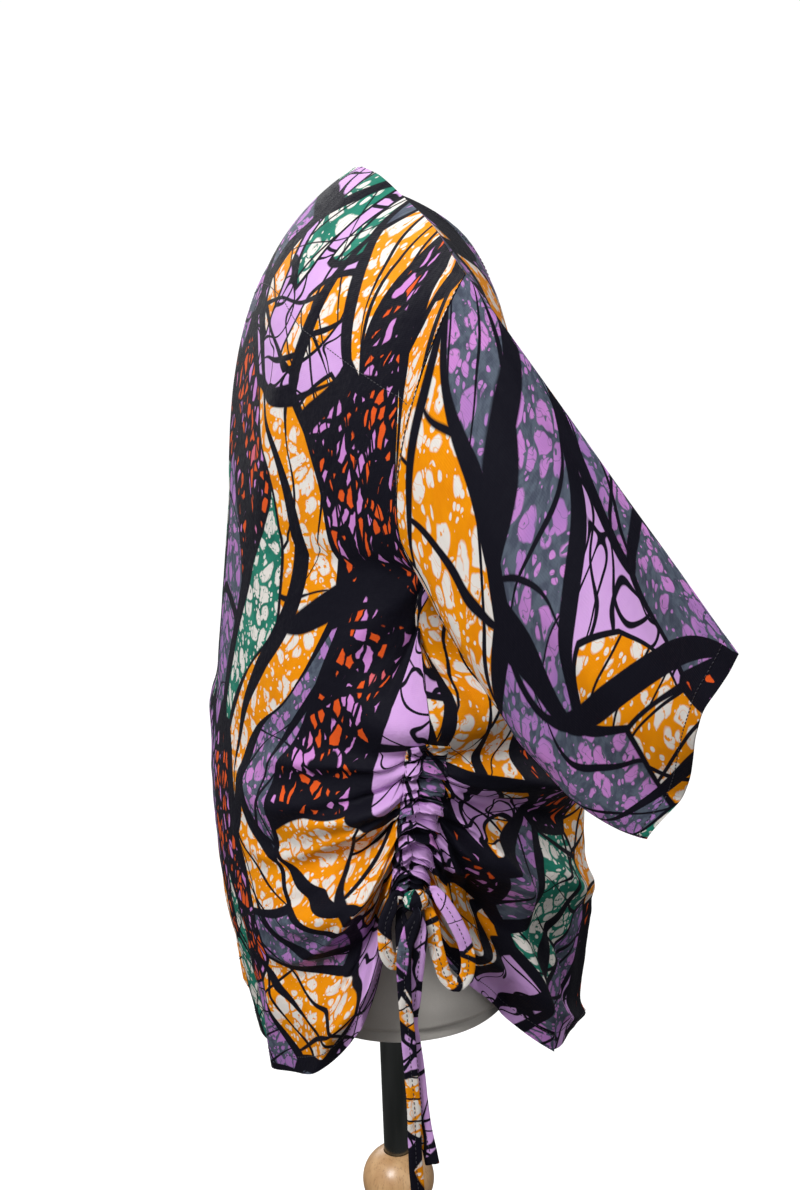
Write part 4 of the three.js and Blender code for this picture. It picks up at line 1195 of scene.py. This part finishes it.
def off_knot(direction, out):
    way = np.array(direction, float)
    way = way / np.linalg.norm(way / KNOT_HALF)
    normal = unit(way / KNOT_HALF**2)
    return KNOT + way + normal * out


def cord_route(cord):
    route = [off_knot(cord["start"], SEAM_GAP), off_knot(cord["start"], CORD_LEAVE)]
    route += [KNOT + np.array(p, float) for p in cord["points"]]
    if "end" in cord:
        route += [off_knot(cord["end"], CORD_LEAVE), off_knot(cord["end"], SEAM_GAP)]
    return route


def cord_section(count):
    """A folded flat cord's outline: two soft edges and a flat middle with a stitched groove."""
    angle = np.linspace(0, 2 * math.pi, count, endpoint=False)
    wide = np.sign(np.cos(angle)) * np.abs(np.cos(angle)) ** 0.8
    thick = np.sign(np.sin(angle)) * np.abs(np.sin(angle)) ** 0.55
    return wide, thick * (1 - 0.30 * np.exp(-((wide / 0.22) ** 2)))


def cord_mesh(name, cord, mirror, seed):
    is_loop = "end" in cord
    steps = 80 if is_loop else 110
    line, length = catmull(cord_route(cord), steps)
    along = unit(np.gradient(line, axis=0))
    wide = unit(np.cross(along, np.array([-1.0, 0, 0])))
    thick = np.cross(wide, along)
    at = np.linspace(0, length, steps)
    from_knot = np.minimum(at, length - at) if is_loop else at
    pinch = CORD_PINCH + (1 - CORD_PINCH) * clamp01(from_knot / CORD_PINCH_REACH)
    half = CORD_WIDTH / 2 * pinch * (1 + 0.05 * soft_noise(at / 17 + seed, at * 0 + 1, 300))
    # A little twist to and fro, as pressed cords have.
    twist = 0.25 * soft_noise(at / 40 + 3 * seed, at * 0 + 7, 301) * clamp01(from_knot / 25)
    cos, sin = np.cos(twist)[:, None], np.sin(twist)[:, None]
    wide, thick = wide * cos + thick * sin, thick * cos - wide * sin
    high = CORD_THICK / 2 + 0.22 * soft_noise(at / 6 + 5 * seed, at * 0 + 4, 302)
    section = cord_section(CORD_SIDES)
    rings = line[:, None, :]
    for way, size, share in ((wide, half, section[0]), (thick, high, section[1])):
        rings = rings + way[:, None, :] * (size[:, None] * share)[..., None]
    u = np.broadcast_to(section[0] * CORD_WIDTH / 2 * MM, (steps, CORD_SIDES)) + 9.9 + 0.43 * seed
    v = np.broadcast_to(-at[:, None] * MM, (steps, CORD_SIDES))
    turn = MIRROR if mirror else 1
    uv = np.stack([u, v], -1).reshape(-1, 2)
    faces = tube_faces(steps, CORD_SIDES)
    piece = link(name, rings.reshape(-1, 3) * turn, faces, uv, PRINT)
    lines = []
    for way in (1, -1):
        centre = line + thick * way * (high * 0.70)[:, None]
        lines.append((centre[4:-4], thick[4:-4] * way))
    return piece, line * MM * turn, length * MM, stitches(f"{name}_stitches", lines, mirror)


def knot_mesh(name, mirror):
    """A tight flat knot: a wrapped lump with crossing folds of the cord."""
    rows, count = 40, 56
    lat = np.linspace(-math.pi / 2, math.pi / 2, rows)
    lon = np.linspace(0, 2 * math.pi, count, endpoint=False)
    lon, lat = np.meshgrid(lon, lat)
    d = np.stack([np.cos(lat) * np.cos(lon), np.cos(lat) * np.sin(lon), np.sin(lat)], -1)
    wrap = np.abs(np.sin((d[..., 2] * 1.1 + d[..., 1] * 0.9) * 3.4))
    cross = np.abs(np.sin((d[..., 1] * 1.3 - d[..., 2] * 0.7) * 2.6 + 0.8))
    size = 0.90 + 0.12 * np.sqrt(wrap) * (0.6 + 0.4 * cross)
    size = size + 0.03 * soft_noise(lon * 3, lat * 4 + 9, 310)
    points = KNOT + d * KNOT_HALF * np.minimum(size, 1.04)[..., None]
    vertices = points.reshape(-1, 3) * (MIRROR if mirror else 1)
    uv = np.stack([lon * 0.011 + 12.0, lat * 0.012], -1).reshape(-1, 2)
    return link(name, vertices, grid_faces(rows, count, 0, True), uv, PRINT)


def make_drawstring(side):
    mirror = side == "left"
    knot = knot_mesh(f"cord_knot_{side}", mirror)
    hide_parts(f"drawstring_{side}_knot")
    for seed, (name, cord) in enumerate(CORDS.items(), 4 if mirror else 0):
        piece, path, length, thread = cord_mesh(f"cord_{name}_{side}", cord, mirror, seed)
        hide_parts(f"drawstring_{side}_{name}")


# ---- Dress form and stand ----
FORM_TABLE = {
    "share": [0, 0.08, 0.25, 0.45, 0.62, 0.78, 1],
    "z": [827, 850, 930, 1040, 1130, 1210, 1315],
    "half": [146, 151, 150, 127, 138, 150, 165],
    "depth": [101, 105, 104, 90, 96, 100, 76],
    "middle": [3, 2, 0, -3, -6, -10, -6],
}
FORM_ROUND = 0.92
FORM_SIDES = 128
FORM_TOP_Z = FORM_TABLE["z"][-1]
FORM_TOP_START = FORM_TABLE["share"][-2]
# What the cloth of the solids and the room under it take from the shoulders' height.
UNDER_CLOTH = 2.0, 0.4
TOP_RINGS = 0.999, 0.97, 0.93, 0.88, 0.82, 0.74, 0.66, 0.57, 0.48, 0.39, 0.3, 0.2, 0.1
RIM_HEIGHT = 12.0
RIM_ROLL = 2.2
RIM_IN = 5
RIM_HOLE = 11.35


def form_top(x, y):
    out = np.abs(x)
    off = y - top_y(out)
    depth = np.where(off > 0, 54.0, 48.0) * (1 - (np.minimum(out, 230) / SHOULDER_X) ** 2.3)
    fall = -SHOULDER_ROUND * np.log(1 - np.minimum(0.95, np.abs(off) / depth))
    dip = 14.0 * np.exp(-((x / 70) ** 4))
    end = np.maximum(0, out - 120) ** 2 * 0.018
    return top_z(out) - UNDER_CLOTH[0] - UNDER_CLOTH[1] - fall - dip - end


def rounded(value):
    return np.sign(value) * np.abs(value) ** FORM_ROUND


def make_form():
    half, depth, middle, height = (
        smooth(FORM_TABLE["share"], FORM_TABLE[key]) for key in ("half", "depth", "middle", "z")
    )
    angles = np.linspace(0, 2 * math.pi, FORM_SIDES, endpoint=False)
    wide, deep = rounded(np.cos(angles)), rounded(np.sin(angles))
    low = FORM_TABLE["z"][0]

    def ring(share, scale):
        x = scale * half(share) * wide
        y = scale * depth(share) * deep + middle(share)
        blend = clamp01((share - FORM_TOP_START) / (1 - FORM_TOP_START))
        top = form_top(x, y)
        z = top if scale < 1 else height(share) + blend * (top - FORM_TOP_Z) * 0.9
        return np.stack([x, y, z], -1)

    rings = [ring(0.0, 0.94)] + [ring(s, 1) for s in np.linspace(0, 0.97, 70)]
    rings[0][:, 2] = low
    grid = np.array(rings + [ring(1.0, s) for s in TOP_RINGS])
    # Seams of the cover: a raised welt down each side, the front and the back.
    for at in (0.0, 0.5, 0.25, 0.75):
        off = (angles / (2 * math.pi) - at + 0.5) % 1.0 - 0.5
        welt = np.exp(-((off * FORM_SIDES / 1.1) ** 2))
        way = unit((grid - grid.mean(1, keepdims=True)) * np.array([1, 1, 0.0]))
        grid = grid + way * (welt[None, :, None] * 0.7)
    faces = tube_faces(len(grid), FORM_SIDES)
    flat = [len(faces) - 2]
    piece = link("form_body", grid.reshape(-1, 3), faces, None, FORM, flat)
    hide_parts("form_torso")

    # The lower rim: a plate with rolled edges and a hole for the pole.
    low = low - SEAM_GAP - RIM_HEIGHT
    roll = [
        (-RIM_IN - RIM_ROLL + RIM_ROLL * math.cos(lean), RIM_ROLL * math.sin(lean))
        for lean in np.radians(np.linspace(-90, 90, 11))
    ]
    edge = [(out, low + RIM_ROLL + z) for out, z in roll[:6]]
    edge += [(out, low + RIM_HEIGHT - RIM_ROLL + z) for out, z in roll[5:]]
    loops = [
        (RIM_HOLE * np.cos(angles), RIM_HOLE * np.sin(angles), z) for z in (low + RIM_HEIGHT, low)
    ]
    loops += [((146 + out) * wide, (101 + out) * deep + 3, z) for out, z in edge]
    grid = np.array([np.stack(np.broadcast_arrays(*loop), -1) for loop in loops])
    count = grid.shape[0] * FORM_SIDES
    faces = grid_faces(len(grid) + 1, FORM_SIDES, 0, True) % count
    rim = link("form_rim_cover", grid.reshape(-1, 3), faces, None, FORM)
    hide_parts("form_rim")


def turned(name, node, corners, material, slot, bevel, sides=128):
    """A body turned round Z from [radius, height] corners, on the axis at both ends."""
    corners = np.array(corners, float)
    profile = []
    for before, here, after in zip(corners, corners[1:], corners[2:]):
        arms = before - here, after - here
        long = [np.linalg.norm(arm) for arm in arms]
        cut = min(bevel, 0.45 * long[0], 0.45 * long[1])
        one, two = (here + arm / size * cut for arm, size in zip(arms, long))
        for t in (0.0, 0.25, 0.5, 0.75, 1.0):
            profile.append(one * (1 - t) ** 2 + 2 * here * t * (1 - t) + two * t * t)
    radius, height = np.array(profile).T[:, :, None]
    angles = np.linspace(0, 2 * math.pi, sides, endpoint=False)
    grid = np.broadcast_arrays(radius * np.cos(angles), radius * np.sin(angles), height)
    vertices = np.stack(grid, -1).reshape(-1, 3)
    faces = [tuple(face) for face in grid_faces(len(profile), sides, 0, True)]
    first, base = len(vertices), len(vertices) - sides
    for k in range(sides):
        nk = (k + 1) % sides
        faces += [(first, k, nk), (first + 1, base + nk, base + k)]
    ends = [[0, 0, corners[0][1]], [0, 0, corners[-1][1]]]
    piece = link(name, np.concatenate([vertices, ends]), faces, None, material)
    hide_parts(node)


POLE = 11.0
POLE_TOP = FORM_TABLE["z"][0]
HUB_Z = 607.0
HUB_RADIUS = 29.5
HUB_BORE = 22.0
HUB_FOOT = 16.0
BASE_HEIGHT = 28.0


def make_stand():
    pole_top = POLE_TOP - SEAM_GAP
    bore_floor = HUB_Z + HUB_RADIUS - HUB_BORE
    pole_foot = bore_floor + SEAM_GAP
    bore = POLE + SEAM_GAP
    mouth = math.acos(bore / HUB_RADIUS)
    foot = -math.acos(HUB_FOOT / HUB_RADIUS)
    ball = [
        (HUB_RADIUS * math.cos(a), HUB_Z + HUB_RADIUS * math.sin(a))
        for a in np.linspace(foot, mouth, 48)
    ]
    hub_foot = ball[0][1]
    top = hub_foot - SEAM_GAP
    low = BASE_HEIGHT + SEAM_GAP
    pole = [(0, pole_foot), (POLE, pole_foot), (POLE, pole_top), (0, pole_top)]
    hub = [(0, hub_foot), *ball, (bore, bore_floor), (0, bore_floor)]
    column = [
        (0, low), (28, low), (28, low + 14), (20, low + 26), (20, top - 30), (23, top - 20),
        (17, top - 8), (17, top), (0, top),
    ]
    base = [(0, 0), (196, 0), (200, 4), (200, 20), (190, BASE_HEIGHT), (0, BASE_HEIGHT)]
    turned("pole_tube", "pole", pole, CHROME, "pole_chrome", 0.6)
    turned("hub_ball", "hub", hub, WOOD, "stand_wood", 0.5)
    turned("column_turned", "column", column, WOOD, "stand_wood", 3.0)
    turned("base_disc", "base", base, WOOD, "stand_wood", 2.5)


# ---- Ground and light ----
GROUND_SIDES = 96
GROUND_LOW = 0.0004


def make_ground():
    """A pale floor that rises behind the view into a round wall."""
    n = Nodes("studio_ground")
    x, y, _ = n.split(n.place())
    out = n.remap(n.math("SQRT", n.add(n.times(x, x), n.times(y, y))), 0.5, 1.6)
    glow = n.mix(out, (0.52, 0.52, 0.52), (0.98, 0.98, 0.98))
    colour = n.mix(out, (0.62, 0.62, 0.62), (0.10, 0.10, 0.10))
    material = n.finish(colour, 0.9, Emission_Color=glow, Emission_Strength=1.0)
    rings = [(0.001, 0.0), (1.0, 0.0), (3.0, 0.0), (7.0, 0.0)]
    rings += [
        (7.0 + 2.5 * math.sin(a), 2.5 - 2.5 * math.cos(a))
        for a in np.linspace(0.2, math.pi / 2, 8)
    ]
    rings += [(9.5, 9.0)]
    turns = [2 * math.pi * k / GROUND_SIDES for k in range(GROUND_SIDES)]
    vertices = [
        (r * math.cos(turn), r * math.sin(turn), z - GROUND_LOW) for r, z in rings for turn in turns
    ]
    mesh = bpy.data.meshes.new("studio_ground")
    mesh.from_pydata(vertices, [], grid_faces(len(rings), GROUND_SIDES, 0, True)[:, ::-1].tolist())
    mesh.polygons.foreach_set("use_smooth", np.ones(len(mesh.polygons), bool))
    mesh.materials.append(material)
    ground = bpy.data.objects.new("studio_ground", mesh)
    bpy.context.scene.collection.objects.link(ground)
    ground.visible_diffuse = False
    ground.visible_glossy = False


def make_light():

    # Soft light from above and around, little from below.
    world = bpy.data.worlds.new("studio")
    bpy.context.scene.world = world
    world.use_nodes = True
    tree = world.node_tree
    background = tree.nodes["Background"]
    background.inputs[0].default_value = (1, 1, 1, 1)
    where = tree.nodes.new("ShaderNodeTexCoord")
    parts = tree.nodes.new("ShaderNodeSeparateXYZ")
    tree.links.new(where.outputs["Generated"], parts.inputs[0])
    fade = tree.nodes.new("ShaderNodeMapRange")
    fade_range = {"From Min": -0.5, "From Max": 0.8, "To Min": 0.09, "To Max": 0.52}
    for socket, number in fade_range.items():
        fade.inputs[socket].default_value = number
    tree.links.new(parts.outputs[2], fade.inputs["Value"])
    tree.links.new(fade.outputs[0], background.inputs[1])

    def area(name, place, target, size, power):
        data = bpy.data.lights.new(name, "AREA")
        data.shape = "RECTANGLE"
        data.size, data.size_y = size
        data.energy = power
        light = bpy.data.objects.new(name, data)
        light.location = place
        way = Vector(target) - Vector(place)
        light.rotation_euler = way.to_track_quat("-Z", "Y").to_euler()
        bpy.context.scene.collection.objects.link(light)

    area("key", (-2.0, 1.9, 3.1), (0, 0, 1.1), (1.1, 1.1), 108)
    area("fill", (-3.2, -1.6, 1.5), (0, 0, 1.0), (2.0, 1.8), 13)
    area("top", (0.3, -0.3, 3.7), (0, 0, 1.0), (1.8, 1.8), 30)
    area("far", (2.8, 0.6, 2.2), (0, 0, 1.1), (2.0, 2.0), 46)
    area("front", (1.2, -3.0, 2.2), (0, 0, 1.1), (2.0, 2.0), 16)


make_camera()
for which in ("right", "left"):
    make_drawstring(which)
make_back()
for which in ("right", "left"):
    make_front(which)
    make_sleeve(which)
    make_casing(which)
make_form()
make_stand()
make_ground()
make_light()

bpy.context.scene.view_settings.view_transform = "Standard"
